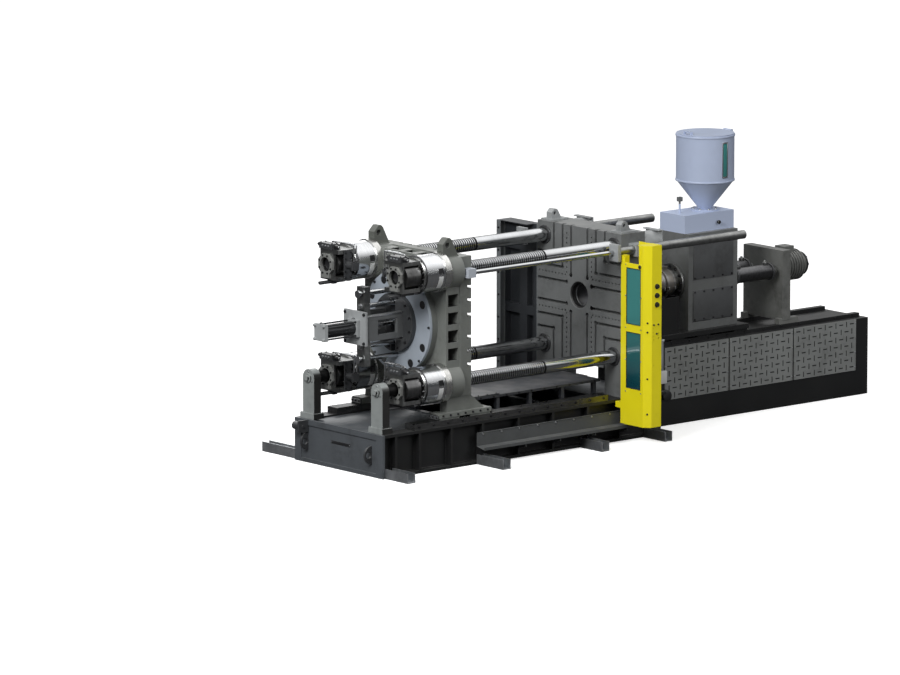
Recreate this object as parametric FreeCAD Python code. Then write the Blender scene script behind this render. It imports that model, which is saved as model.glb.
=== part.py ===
import FreeCAD, Part
import math
import os

# Two-platen hydraulic injection moulding machine, in millimetres.
# The frame: X = 0 is the mould face of the stationary platen, Y = 0 the middle plane,
# Z = 0 the floor. +X runs towards the injection unit, -Y is the operator's side.

# ---------------------------------------------------------------- driving sizes
axis_height = 1403.0            # machine axis above the floor
open_daylight = 1985.0          # between the mould faces, machine fully open
tie_pitch_y = 1060.0            # tie bar centres, across
tie_pitch_z = 1120.0            # tie bar centres, up
tie_radius = 70.0
platen_width = 1280.0
platen_height = 1400.0
fixed_platen_thick = 320.0
bed_width = 1365.0
bed_height = 434.0
bed_right = 583.0               # end of the clamp bed behind the stationary platen
bed_overhang = 271.0            # bed beyond the nut end rings, at the left

# running and seating clearances
bore_clearance = 1.0            # platen bores on the tie bars
slide_clearance = 0.5           # shoes on rails, rods in guides
seat_clearance = 0.3            # round pieces seated in round holes
tooth_clearance = 0.6           # half-nut teeth in the grooves

# grooves and split nuts
groove_pitch = 28.0
groove_depth = 7.0
groove_root = 9.0               # width at the bottom of a groove
groove_mouth = 15.0             # width at the bar's surface
groove_right = -984.0           # grooves end here, then the bar is smooth
bar_chamfer = 6.0
relief_width = 26.0
relief_depth = 4.0
nut_teeth = 6
nut_outer_radius = 118.0
nut_half_angle = 76.0
nut_travel = 28.0               # sideways, from open to locked
nut_end_margin = 18.0           # beyond the outermost tooth centre

# moving platen, from its mould face backwards
front_plate_thick = 144.0
platen_body_depth = 173.0
hub_depth = 78.0
hub_radius = 500.0
disc_thick = 30.0
disc_radius = 510.0
disc_hole_radius = 42.0
disc_hole_circle = 445.0
corner_boss_radius = 185.0

# lifting lug eyes
fixed_eye_radius = 18.0
moving_eye_radius = 30.0

# clamp drums
drum_radius = 190.0
drum_wall = 32.0
drum_length = 253.0
drum_ring_length = 75.0
drum_ring_radius = 200.0
drum_flange_thick = 12.0
drum_flange_radius = 172.0
piston_tube_radius = 96.0
piston_head_thick = 70.0
housing_gap = 2.0

# split nut housings
housing_length = 226.0
housing_plate_thick = 40.0
housing_half_width = 105.0
housing_inner_reach = 172.0
end_ring_thick = 28.0
end_ring_across = 215.0
nut_room = 0.6                  # between half-nut and the plates above and below
nut_end_gap = 0.6               # between half-nut and the housing's inner wall
housing_wall = 18.0             # inner wall, bolted to the piston tube

# T-slots and tapped holes of both mould faces
slot_width = 28.0
slot_depth = 30.0
slot_foot_width = 46.0
slot_foot_depth = 20.0
slot_inner = 125.0              # straight slots beside the middle lines
slot_inner_z = 111.0
slot_start = 190.0
slot_corner_1 = 255.0
slot_corner_2 = 390.0
tap_radius = 10.5
tap_depth = 45.0
tap_pitch = 50.0
tap_line = 190.0
tap_rows = 9

# locating bore
locating_radius = 125.0
locating_depth = 80.0
locating_chamfer = 15.0
nozzle_well_radius = 190.0

# ejector
ejector_plate = 340.0
ejector_plate_thick = 26.0
ejector_reach = 520.0           # from the disc back to the flange plate
cheek_inner = 110.0
cheek_thick = 40.0
cheek_half_height = 130.0
cylinder_cap = 170.0
cylinder_bore = 55.0
cylinder_outer = 68.0
cylinder_length = 410.0
cap_thick = 38.0
crosshead_width = 120.0
crosshead_thick = 75.0
crosshead_half_height = 400.0
guide_rod_height = 330.0
guide_rod_radius = 25.0
ejector_rod_height = 200.0
ejector_rod_radius = 24.0
piston_rod_radius = 28.0

# bed and floor pieces
flange_thick = 30.0
web_thick = 24.0
flange_width = 160.0
rib_thick = 26.0
rib_stations = [-2991.0, -2684.0, -2272.0, -1863.0, -1395.0, -937.0, -470.0, -40.0, 380.0]
cross_count = 7
cross_thick = 60.0
top_plate_thick = 14.0
rail_height = 60.0
rail_width = 150.0
rail_left = -2750.0
rail_right = -200.0
channel_size = 100.0
channel_wall = 10.0
bed_eye_radius = 32.0
anchor_hole_radius = 13.0
anchor_pitch_x = 50.0
anchor_pitch_y = 120.0

# uprights under the long tie bars
upright_thick = 90.0
upright_width = 175.0
upright_gap = 127.0             # from the nut end rings, machine fully open
stub_radius = 60.0

# guard post at the front
post_left = -107.0
post_right = 84.0
post_outer = 1158.0
post_inner = 819.0
post_bevel = 63.0
post_bottom = 207.0
post_top = 2053.0
post_wall = 4.0
window_frame_top = 1855.0
window_frame_thick = 14.0
button_heights = [1453.0, 1546.0, 1639.0]
button_x = 20.0
button_radius = 27.0

# injection unit
injection_half_width = 372.0
injection_bed_height = 808.0
injection_right = 3700.0
injection_rail_height = 45.0
barrel_radius = 125.0
barrel_bore = 50.0
barrel_left = 640.0
nozzle_tip = 380.0
housing_left = 1271.0
housing_right = 1950.0
housing_half = 250.0
throat_height = 515.0           # above the axis
throat_box_height = 187.0
hopper_x = 1720.0
hopper_radius = 300.0
hopper_wall = 5.0
hopper_cone_height = 300.0
hopper_drum_height = 480.0
feed_radius = 60.0

# ---------------------------------------------------------------- places worked out
mid = axis_height
half_y = tie_pitch_y / 2
half_z = tie_pitch_z / 2
half_w = platen_width / 2
half_h = platen_height / 2
bed_half = bed_width / 2
rail_top = bed_height + rail_height
platen_bottom = mid - half_h
bars = [(side, level) for side in (-1, 1) for level in (-1, 1)]

front_x = -open_daylight
plate_x = front_x - front_plate_thick
body_x = plate_x - platen_body_depth
hub_x = body_x - hub_depth
disc_x = hub_x - disc_thick
ring_x = body_x - drum_ring_length
drum_x = ring_x - drum_length
flange_x = drum_x - drum_flange_thick
housing_x = flange_x - housing_gap
end_ring_x = housing_x - housing_length
machine_left = end_ring_x - end_ring_thick
bed_left = machine_left - bed_overhang
upright_x = machine_left - upright_gap
last_tooth_x = housing_x - housing_wall - nut_end_gap - nut_end_margin
bar_left = last_tooth_x - groove_pitch * (nut_teeth - 1) - nut_end_margin - 2.0
plate_height = nut_outer_radius * math.sin(math.radians(nut_half_angle)) + nut_room
bar_bore = tie_radius + bore_clearance
flange_plate_x = disc_x - ejector_reach


# ---------------------------------------------------------------- shape helpers
def vec(x, y, z):
    return FreeCAD.Vector(x, y, z)


def block(x, y, z):
    return Part.makeBox(x[1] - x[0], y[1] - y[0], z[1] - z[0], vec(x[0], y[0], z[0]))


def rod_x(x, y, z, radius):
    return Part.makeCylinder(radius, x[1] - x[0], vec(x[0], y, z), vec(1, 0, 0))


def rod_y(x, y, z, radius):
    return Part.makeCylinder(radius, y[1] - y[0], vec(x, y[0], z), vec(0, 1, 0))


def rod_z(x, y, z, radius):
    return Part.makeCylinder(radius, z[1] - z[0], vec(x, y, z[0]), vec(0, 0, 1))


def tube_x(x, y, z, outer, inner):
    return rod_x(x, y, z, outer).cut(rod_x((x[0] - 1, x[1] + 1), y, z, inner))


def polygon_face(points):
    return Part.Face(Part.makePolygon(points + [points[0]]))


def plate_along_x(outline, x):
    face = polygon_face([vec(x[0], y, z) for y, z in outline])
    return face.extrude(vec(x[1] - x[0], 0, 0))


def plate_along_y(outline, y):
    face = polygon_face([vec(x, y[0], z) for x, z in outline])
    return face.extrude(vec(0, y[1] - y[0], 0))


def plate_along_z(outline, z):
    face = polygon_face([vec(x, y, z[0]) for x, y in outline])
    return face.extrude(vec(0, 0, z[1] - z[0]))


def turned_x(outline, y, z, angle=360.0):
    """Turn an outline of (x, radius) points about the line along X through y, z."""
    face = polygon_face([vec(x, y, z + radius) for x, radius in outline])
    return face.revolve(vec(0, y, z), vec(1, 0, 0), angle)


def joined(pieces):
    shape = pieces[0].fuse(pieces[1:])
    return shape.removeSplitter()


def save(node, pieces):
    shape = pieces[0] if len(pieces) == 1 else Part.makeCompound(pieces)
    solids = len(shape.Solids)
    assert shape.isValid(), node
    shape.exportStep("parts/" + node + ".step")
    print(node, solids, "solids", round(shape.Volume / 1e6, 2), "litres")


os.makedirs("parts", exist_ok=True)


# ---------------------------------------------------------------- clamp bed
def side_beam(side):
    """Fabricated side beam: box web, broad flanges and ribs out to the flange edge."""
    def across(inner, outer):
        return tuple(sorted((side * inner, side * outer)))
    length = (bed_left + flange_thick, bed_right)
    outer = bed_half
    web_outer = outer - 80.0
    pieces = [
        block(length, across(web_outer - web_thick, web_outer), (flange_thick, bed_height - flange_thick)),
        block(length, across(outer - flange_width, outer), (0, flange_thick)),
        block(length, across(outer - flange_width, outer), (bed_height - flange_thick, bed_height)),
    ]
    for station in rib_stations:
        low = station - rib_thick / 2
        if low > bed_left + flange_thick:
            pieces.append(block((low, low + rib_thick), across(web_outer, outer),
                                (flange_thick, bed_height - flange_thick)))
    return joined(pieces)


end_recess = 12.0


def end_frame():
    """Left end of the bed: corner plates, recessed web plate and flanges."""
    x = (bed_left, bed_left + flange_thick)
    corner = 100.0
    plate = block(x, (-bed_half, bed_half), (0, bed_height))
    recess = block((x[0] - 1, x[0] + end_recess), (-bed_half + corner, bed_half - corner),
                   (flange_thick + 10, bed_height - flange_thick - 26))
    return plate.cut(recess)


def lifting_eye(side):
    """Half-round lifting lug on the recessed end plate."""
    y = side * (bed_half - 190.0)
    thick = 24.0
    z = bed_height / 2
    seat = bed_left + end_recess
    disc = rod_y(seat, (y - thick / 2, y + thick / 2), z, 90.0)
    hole = rod_y(seat - 42.0, (y - thick, y + thick), z, bed_eye_radius)
    keep = block((seat - 200, seat), (y - thick, y + thick), (0, bed_height))
    return disc.common(keep).cut(hole)


def cross_members():
    inner = bed_half - 80.0 - web_thick
    first = bed_left + flange_thick
    span = bed_right - cross_thick - first
    pieces = []
    for index in range(cross_count):
        left = first + span * index / (cross_count - 1)
        pieces.append(block((left, left + cross_thick), (-inner, inner),
                            (flange_thick, bed_height - flange_thick)))
    return pieces


def top_plates():
    """Cover plates between the top flanges, clear of the drop opening."""
    inner = bed_half - flange_width
    z = (bed_height - flange_thick, bed_height - flange_thick + top_plate_thick)
    return [
        block((bed_left + flange_thick, -2000.0), (-inner, inner), z),
        block((-80.0, bed_right), (-inner, inner), z),
    ]


def floor_plate():
    """Bearing plate on the floor, between the bottom flanges under the stationary platen."""
    inner = bed_half - flange_width
    return block((-220.0, 220.0), (-inner, inner), (0, flange_thick))


def rail_y(side):
    outer = side * (bed_half - 6.0)
    inner = side * (bed_half - 6.0 - rail_width)
    return tuple(sorted((outer, inner)))


save("bed_front_beam", [side_beam(-1)])
save("bed_rear_beam", [side_beam(1)])
save("bed_cross_frames", [end_frame(), floor_plate()] + cross_members() + top_plates())
save("slideways", [block((rail_left, rail_right), rail_y(side), (bed_height, rail_top)) for side in (-1, 1)])


def anchor_channel(x, y):
    """U channel lying across, open to the top, with a row of anchor holes."""
    z = (0, channel_size)
    half = channel_size / 2
    body = block((x - half, x + half), y, z)
    room = block((x - half + channel_wall, x + half - channel_wall), (y[0] - 1, y[1] + 1),
                 (channel_wall, channel_size + 1))
    channel = body.cut(room)
    middle = (y[0] + y[1]) / 2
    holes = []
    for dx in (-anchor_pitch_x / 2, anchor_pitch_x / 2):
        for dy in (-anchor_pitch_y / 2, anchor_pitch_y / 2):
            holes.append(rod_z(x + dx, middle + dy, (-1, channel_wall + 1), anchor_hole_radius))
    return channel.cut(holes)


channel_x = bed_left + 84.0
near = -bed_half
far = bed_half
channels = [
    anchor_channel(channel_x, (near - 340.0, near)),
    anchor_channel(channel_x, (far, far + 560.0)),
    anchor_channel(rib_stations[3] - 36.0, (near - 400.0, near)),
    anchor_channel(rib_stations[3] - 36.0, (far, far + 400.0)),
    anchor_channel(rib_stations[6] - 60.0, (near - 330.0, near)),
    anchor_channel(rib_stations[6] - 60.0, (far, far + 400.0)),
    anchor_channel(rib_stations[8] - 60.0, (near - 330.0, near)),
    anchor_channel(rib_stations[8] - 60.0, (far, far + 400.0)),
]
save("anchor_channels", channels)

# guide roller on its bracket at the far left corner of the bed
roller_z = bed_height - 60.0
roller_y = (far - 190.0, far - 90.0)
bracket = block((bed_left - 120.0, bed_left), (roller_y[0] - 24.0, roller_y[0]),
                (roller_z - 60.0, roller_z + 60.0))
bracket = bracket.cut(rod_y(bed_left - 70.0, (roller_y[0] - 30.0, roller_y[1]), roller_z,
                            16.0 + seat_clearance))
roller = joined([
    rod_y(bed_left - 70.0, (roller_y[0] - 34.0, roller_y[0]), roller_z, 16.0),
    rod_y(bed_left - 70.0, (roller_y[0] + slide_clearance, roller_y[1]), roller_z, 42.0),
    rod_y(bed_left - 70.0, (roller_y[0] - 1.0, roller_y[0] + slide_clearance), roller_z, 16.0),
])
save("bed_end_fittings", [lifting_eye(-1), lifting_eye(1), bracket, roller])


# ---------------------------------------------------------------- tie bars
def groove_centres(left):
    first = math.ceil((left + bar_chamfer + groove_mouth / 2 - last_tooth_x) / groove_pitch)
    last = math.floor((groove_right - groove_mouth / 2 - last_tooth_x) / groove_pitch)
    return [last_tooth_x + groove_pitch * step for step in range(first, last + 1)]


def tie_bar(side, level):
    """Turned bar: locking grooves, relief band, smooth run and threaded nut end."""
    lower = level < 0
    outline = [(bar_left, 0)]
    if lower:
        outline = [(upright_x, 0), (upright_x, stub_radius), (bar_left, stub_radius)]
    outline += [(bar_left, tie_radius - bar_chamfer), (bar_left + bar_chamfer, tie_radius)]
    for centre in groove_centres(bar_left):
        outline += [
            (centre - groove_mouth / 2, tie_radius),
            (centre - groove_root / 2, tie_radius - groove_depth),
            (centre + groove_root / 2, tie_radius - groove_depth),
            (centre + groove_mouth / 2, tie_radius),
        ]
    outline += [
        (groove_right, tie_radius),
        (groove_right, tie_radius - relief_depth),
        (groove_right + relief_width, tie_radius - relief_depth),
        (groove_right + relief_width, tie_radius),
        (tie_bar_right, tie_radius),
        (tie_bar_right, 0),
    ]
    return turned_x(outline, side * half_y, mid + level * half_z)


nut_length = 220.0
nut_radius = 120.0
retainer_thick = 14.0
tie_bar_right = fixed_platen_thick + nut_length
side_name = {-1: "front", 1: "rear"}
level_name = {-1: "lower", 1: "upper"}
save("tie_bars", [tie_bar(side, level) for side, level in bars])


def tie_bar_nut(side, level):
    x = (fixed_platen_thick, tie_bar_right)
    return tube_x(x, side * half_y, mid + level * half_z, nut_radius, tie_radius + seat_clearance)


def retainer_plate(side, level):
    """Locking plate screwed over the end of a tie bar and its nut."""
    x = (tie_bar_right, tie_bar_right + retainer_thick)
    y = side * half_y
    z = mid + level * half_z
    reach = nut_radius + 2.0
    plate = block(x, (y - reach, y + reach), (z - reach, z + reach))
    lip_z = tuple(sorted((z + level * reach, z + level * (reach + 12.0))))
    lip = block((x[0] - 40.0, x[1]), (y - reach, y + reach), lip_z)
    return joined([plate, lip])


nuts = [tie_bar_nut(side, level) for side, level in bars]
save("tie_bar_nuts", nuts + [retainer_plate(side, level) for side, level in bars])


def upright(side):
    """Standing plate with a rounded head that carries a lower tie bar's turned-down end."""
    x = (upright_x - upright_thick, upright_x)
    y = side * half_y
    z = mid - half_z
    half = upright_width / 2
    foot = block((x[0] - 20.0, x[1] + 20.0), (y - half - 20.0, y + half + 20.0),
                 (bed_height, bed_height + 55.0))
    stem = block(x, (y - half, y + half), (bed_height + 55.0, z))
    head = rod_x(x, y, z, half)
    bolt_hole = rod_x((x[0] - 1, x[1] + 1), y, z, 21.0)
    return joined([foot, stem, head]).cut(bolt_hole)


def upright_cap(side):
    """Washer and screw that pull the bar's end against the upright."""
    x = upright_x - upright_thick
    y = side * half_y
    z = mid - half_z
    return joined([
        rod_x((x - 14.0, x), y, z, 45.0),
        rod_x((x - 36.0, x - 14.0), y, z, 27.0),
        rod_x((x, upright_x), y, z, 20.0),
    ])


save("tie_bar_uprights", [upright(-1), upright(1), upright_cap(-1), upright_cap(1)])


# ---------------------------------------------------------------- mould faces
def slot_arm(y, z, x, inward):
    """One straight stretch of T-slot: narrow mouth at the face, wide foot behind it."""
    mouth = sorted((x, x + inward * (slot_depth + 1)))
    foot = sorted((x + inward * slot_depth, x + inward * (slot_depth + slot_foot_depth)))
    mouth[0] -= 1.0 if inward > 0 else 0.0
    mouth[1] += 1.0 if inward < 0 else 0.0
    tools = []
    for depth, width in ((mouth, slot_width), (foot, slot_foot_width)):
        grow = width / 2
        flat_y = (min(y) - grow, max(y) + grow) if y[0] == y[1] else (min(y), max(y))
        flat_z = (min(z) - grow, max(z) + grow) if z[0] == z[1] else (min(z), max(z))
        tools.append(block(tuple(depth), flat_y, flat_z))
    return tools


def slot_entry(y, z, x, inward):
    """Round entry hole at the inner end of a T-slot."""
    span = sorted((x - inward, x + inward * (slot_depth + slot_foot_depth)))
    return rod_x(tuple(span), y, z, slot_foot_width / 2)


def mould_face_cuts(x, inward):
    """T-slots and tapped holes, the same in the four quarters of a mould face."""
    tools = []
    edge_y = half_w + 5.0
    edge_z = half_h + 5.0
    for sy, sz in bars:
        arms = [
            ((sy * slot_inner, sy * slot_inner), (sz * slot_start, sz * edge_z)),
            ((sy * slot_start, sy * edge_y), (sz * slot_inner_z, sz * slot_inner_z)),
        ]
        for corner in (slot_corner_1, slot_corner_2):
            arms.append(((sy * corner, sy * corner), (sz * (corner - slot_width / 2), sz * edge_z)))
            arms.append(((sy * corner, sy * edge_y), (sz * corner, sz * corner)))
            tools.append(slot_entry(sy * corner, mid + sz * corner, x, inward))
        tools.append(slot_entry(sy * slot_inner, mid + sz * slot_start, x, inward))
        tools.append(slot_entry(sy * slot_start, mid + sz * slot_inner_z, x, inward))
        for y, z in arms:
            tools += slot_arm(y, (mid + z[0], mid + z[1]), x, inward)
        span = tuple(sorted((x - inward, x + inward * tap_depth)))
        for row in range(tap_rows):
            along = tap_line + 20.0 + tap_pitch * row
            tools.append(rod_x(span, sy * tap_line, mid + sz * along, tap_radius))
            if along < half_w - tap_pitch / 2:
                tools.append(rod_x(span, sy * along, mid + sz * (tap_line - 7.0), tap_radius))
    return tools


def stationary_platen():
    x = (0, fixed_platen_thick)
    pieces = [block(x, (-half_w, half_w), (platen_bottom, mid + half_h))]
    for side in (-1, 1):
        foot_y = tuple(sorted((side * (half_w - 240.0), side * half_w)))
        pieces.append(block(x, foot_y, (bed_height, platen_bottom)))
    body = joined(pieces)
    cuts = mould_face_cuts(0.0, 1)
    cuts.append(rod_x((-1, locating_depth), 0, mid, locating_radius))
    cuts.append(rod_x((locating_depth, fixed_platen_thick + 1), 0, mid, nozzle_well_radius))
    chamfer = [(-1, 0), (-1, locating_radius + locating_chamfer + 1), (locating_chamfer, locating_radius),
               (locating_chamfer, 0)]
    cuts.append(turned_x(chamfer, 0, mid))
    for side, level in bars:
        cuts.append(rod_x((-1, fixed_platen_thick + 1), side * half_y, mid + level * half_z,
                          tie_radius + seat_clearance))
    # lightening pockets in the sides and the top, behind the mould face
    for z in (-420.0, -160.0, 100.0, 360.0):
        for side in (-1, 1):
            y = tuple(sorted((side * (half_w - 60.0), side * (half_w + 1))))
            if abs(z + 50.0) < 330.0:
                cuts.append(block((130.0, 260.0), y, (mid + z, mid + z + 120.0)))
    return body.cut(cuts)


def lifting_lug(x, y, z, length, width, height, rounding, eye_radius):
    """Lug plate with a sloped front, a rounded head and an eye."""
    outline = [(x[0], z), (x[1], z), (x[1] - length * 0.42, z + height - rounding * 0.4),
               (x[1] - length * 0.55, z + height), (x[0] + rounding, z + height),
               (x[0], z + height - rounding)]
    plate = plate_along_y(outline, (y - width / 2, y + width / 2))
    eye = rod_y(x[0] + length * 0.3, (y - width, y + width), z + height * 0.62, eye_radius)
    return plate.cut(eye)


save("stationary_platen", [stationary_platen()])
fixed_lugs = []
for side in (-1, 1):
    fixed_lugs.append(lifting_lug((60.0, 200.0), side * half_y, mid + half_h, 140.0, 80.0, 115.0, 34.0,
                                  fixed_eye_radius))
    base = block((30.0, 240.0), (side * half_y - 90.0, side * half_y + 90.0),
                 (mid + half_h, mid + half_h + 16.0))
    fixed_lugs[-1] = joined([fixed_lugs[-1], base])
save("stationary_platen_lifting_lugs", fixed_lugs)

# the ejector rods' heights and the disc's hole angles, shared by the platen and the disc
ejector_levels = [-ejector_rod_height, 0.0, ejector_rod_height]
disc_angles = [27.5, 61.0, 119.0, 152.5, 207.5, 241.0, 299.0, 332.5]


def moving_platen():
    """Ribbed casting: front plate, ribbed body with side windows, corner bosses and hub."""
    body_span = (body_x, plate_x + 1.0)
    pieces = [
        block((plate_x, front_x), (-half_w, half_w), (platen_bottom, mid + half_h)),
        block(body_span, (-half_w + 12.0, half_w - 12.0), (platen_bottom + 12.0, mid + half_h - 12.0)),
        rod_x((hub_x, body_x + 1.0), 0, mid, hub_radius),
    ]
    keep = block((body_x, plate_x), (-2 * half_w, 2 * half_w), (platen_bottom, mid + half_h))
    for side, level in bars:
        boss = rod_x((body_x, plate_x), side * half_y, mid + level * half_z, corner_boss_radius)
        pieces.append(boss.common(keep))
    body = joined(pieces)
    cuts = mould_face_cuts(front_x, -1)
    for side, level in bars:
        cuts.append(rod_x((hub_x, front_x + 1), side * half_y, mid + level * half_z, bar_bore))
    for height in ejector_levels:
        cuts.append(rod_x((hub_x - 1, front_x + 1), 0, mid + height, ejector_rod_radius + 2.0))
    # windows between the ribs, seen from both sides and from above and below
    window_x = (body_x + 26.0, plate_x - 16.0)
    for height in (-330.0, -150.0, 30.0, 210.0):
        for side in (-1, 1):
            y = tuple(sorted((side * 430.0, side * (half_w + 1))))
            cuts.append(block(window_x, y, (mid + height, mid + height + 120.0)))
    for offset in (-280.0, -70.0, 140.0):
        for level in (-1, 1):
            z = tuple(sorted((mid + level * 500.0, mid + level * (half_h + 1))))
            cuts.append(block(window_x, (offset, offset + 140.0), z))
    return body.cut(cuts)


def rear_disc():
    """Machined disc on the hub: eight round holes and the ejector rod holes."""
    disc = rod_x((disc_x, hub_x), 0, mid, disc_radius)
    cuts = []
    for angle in disc_angles:
        y = disc_hole_circle * math.sin(math.radians(angle))
        z = mid + disc_hole_circle * math.cos(math.radians(angle))
        cuts.append(rod_x((disc_x - 1, hub_x + 1), y, z, disc_hole_radius))
    for height in ejector_levels:
        cuts.append(rod_x((disc_x - 1, hub_x + 1), 0, mid + height, ejector_rod_radius + 2.0))
    return disc.cut(cuts)


save("moving_platen", [moving_platen()])
save("moving_platen_rear_disc", [rear_disc()])
moving_lugs = []
for side in (-1, 1):
    moving_lugs.append(lifting_lug((body_x + 4.0, plate_x + 30.0), side * half_y, mid + half_h,
                                   platen_body_depth + 26.0, 90.0, 190.0, 60.0,
                                   moving_eye_radius))
save("moving_platen_lifting_lugs", moving_lugs)

# ---------------------------------------------------------------- slide shoes
shoe_left = body_x - 129.0
shoe_right = front_x + 233.0
pad_thick = 20.0
shoe_plate_thick = 45.0
pad_bottom = rail_top + slide_clearance
shoe_inner = bed_half - 6.0 - rail_width


def shoe(side):
    """Long slide plate and the sloped riser that carries a lower corner of the platen."""
    y = tuple(sorted((side * shoe_inner, side * (bed_half - 6.0))))
    low = pad_bottom + pad_thick
    high = low + shoe_plate_thick
    plate = block((shoe_left, shoe_right), y, (low, high))
    riser_y = tuple(sorted((side * shoe_inner, side * (half_w - 10.0))))
    outline = [(body_x + 2.0, high), (shoe_right - 60.0, high), (front_x, platen_bottom),
               (body_x + 14.0, platen_bottom)]
    riser = plate_along_y(outline, riser_y)
    return joined([plate, riser])


def wear_pad(side, x):
    y = tuple(sorted((side * (shoe_inner + 8.0), side * (bed_half - 14.0))))
    return block(x, y, (pad_bottom, pad_bottom + pad_thick))


pad_length = 260.0
pads = []
for side in (-1, 1):
    pads.append(wear_pad(side, (shoe_left + 10.0, shoe_left + 10.0 + pad_length)))
    pads.append(wear_pad(side, (shoe_right - 10.0 - pad_length, shoe_right - 10.0)))
save("platen_shoes", [shoe(-1), shoe(1)] + pads)


# ---------------------------------------------------------------- clamp drums
def drum_sleeve(side, level):
    """Polished sleeve with a shallow square window near its right end."""
    y = side * half_y
    z = mid + level * half_z
    sleeve = tube_x((drum_x, ring_x), y, z, drum_radius, drum_radius - drum_wall)
    window = block((ring_x - 92.0, ring_x - 30.0), (y - drum_radius - 5.0, y - drum_radius + 22.0),
                   (z + 6.0, z + 66.0))
    return sleeve.cut(window)


def drum_ring(side, level):
    """Bright ring that bolts a drum to the platen's corner."""
    return tube_x((ring_x, body_x), side * half_y, mid + level * half_z, drum_ring_radius, bar_bore)


def drum_flange(side, level):
    bore = piston_tube_radius + seat_clearance
    return tube_x((flange_x, drum_x), side * half_y, mid + level * half_z, drum_flange_radius, bore)


def clamp_piston(side, level):
    """Annular piston inside a drum, with the tube that pulls the nut housing."""
    y = side * half_y
    z = mid + level * half_z
    head_right = ring_x - 20.0
    head_left = head_right - piston_head_thick
    inner = drum_radius - drum_wall - seat_clearance
    outline = [(housing_x, bar_bore), (housing_x, piston_tube_radius), (head_left, piston_tube_radius),
               (head_left, inner), (head_right, inner), (head_right, bar_bore)]
    return turned_x(outline, y, z)


save("clamp_drums", [drum_sleeve(side, level) for side, level in bars])
rings = [drum_ring(side, level) for side, level in bars]
save("clamp_drum_rings", rings + [drum_flange(side, level) for side, level in bars])


# ---------------------------------------------------------------- split nuts
def toward_axis(side, near_y, far_y):
    """Span of Y from a bar centre towards the machine's middle plane."""
    centre = side * half_y
    return tuple(sorted((centre - side * near_y, centre - side * far_y)))


def nut_housing(side, level):
    """Two walls with plates above and below the half-nuts."""
    z = mid + level * half_z
    y = toward_axis(side, -housing_half_width, housing_inner_reach)
    wall_y = toward_axis(side, -housing_half_width, housing_half_width)
    top = plate_height + housing_plate_thick
    pieces = [
        block((end_ring_x, housing_x), y, (z + plate_height, z + top)),
        block((end_ring_x, housing_x), y, (z - top, z - plate_height)),
        block((end_ring_x, end_ring_x + 24.0), wall_y, (z - top, z + top)),
        block((housing_x - housing_wall, housing_x), wall_y, (z - top, z + top)),
    ]
    body = joined(pieces)
    return body.cut(rod_x((end_ring_x - 1, housing_x + 1), side * half_y, z, bar_bore + 5.0))


def end_ring(side, level):
    """Octagonal ring plate on the outer end of a nut housing."""
    z = mid + level * half_z
    y = side * half_y
    radius = end_ring_across / 2 / math.cos(math.radians(22.5))
    outline = []
    for step in range(8):
        angle = math.radians(22.5 + 45.0 * step)
        outline.append((y + radius * math.cos(angle), z + radius * math.sin(angle)))
    plate = plate_along_x(outline, (machine_left, end_ring_x))
    foot = block((machine_left, end_ring_x), (y - 60.0, y + 60.0), (z - plate_height - 20.0, z - 90.0))
    return joined([plate, foot]).cut(rod_x((machine_left - 1, end_ring_x + 1), y, z, bar_bore + 2.0))


def valve_block(side, level):
    """Valve block on top of a nut housing."""
    z = mid + level * half_z + plate_height + housing_plate_thick
    y = side * half_y
    body = block((machine_left + 6.0, machine_left + 96.0), (y - 100.0, y + 100.0), (z, z + 58.0))
    step = block((machine_left + 96.0, machine_left + 150.0), (y - 60.0, y + 60.0), (z, z + 38.0))
    return joined([body, step])


cylinder_face = housing_inner_reach + 12.0
opening_cylinder_length = 120.0
nut_middle_x = last_tooth_x - groove_pitch * (nut_teeth - 1) / 2
nut_rod_radius = 13.0


def opening_cylinder(side, level):
    """Cylinder that opens and closes an inner half-nut, on its plate."""
    z = mid + level * half_z
    reach = plate_height + housing_plate_thick
    plate = block((nut_middle_x - 48.0, nut_middle_x + 48.0),
                  toward_axis(side, housing_inner_reach, cylinder_face),
                  (z - reach, z + reach))
    body = rod_y(nut_middle_x, toward_axis(side, cylinder_face, cylinder_face + opening_cylinder_length),
                 z, 36.0)
    cap = block((nut_middle_x - 40.0, nut_middle_x + 40.0),
                toward_axis(side, cylinder_face + opening_cylinder_length - 24.0,
                            cylinder_face + opening_cylinder_length), (z - 40.0, z + 40.0))
    bore = rod_y(nut_middle_x, toward_axis(side, housing_inner_reach - 1.0,
                 cylinder_face + opening_cylinder_length - 20.0), z, nut_rod_radius + slide_clearance)
    return joined([plate, body, cap]).cut(bore)


def position_sensor(side, level):
    """Long sensor tube in a clamp block under a nut housing."""
    z = mid + level * half_z - plate_height - housing_plate_thick
    y = side * half_y
    rod_z_place = z - 26.0
    return joined([
        rod_x((machine_left - 87.0, housing_x - 20.0), y - 22.0, rod_z_place, 14.0),
        rod_x((machine_left - 60.0, housing_x - 20.0), y + 22.0, rod_z_place, 14.0),
        block((end_ring_x + 40.0, end_ring_x + 90.0), (y - 44.0, y + 44.0), (rod_z_place - 18.0, z)),
    ])


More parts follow.
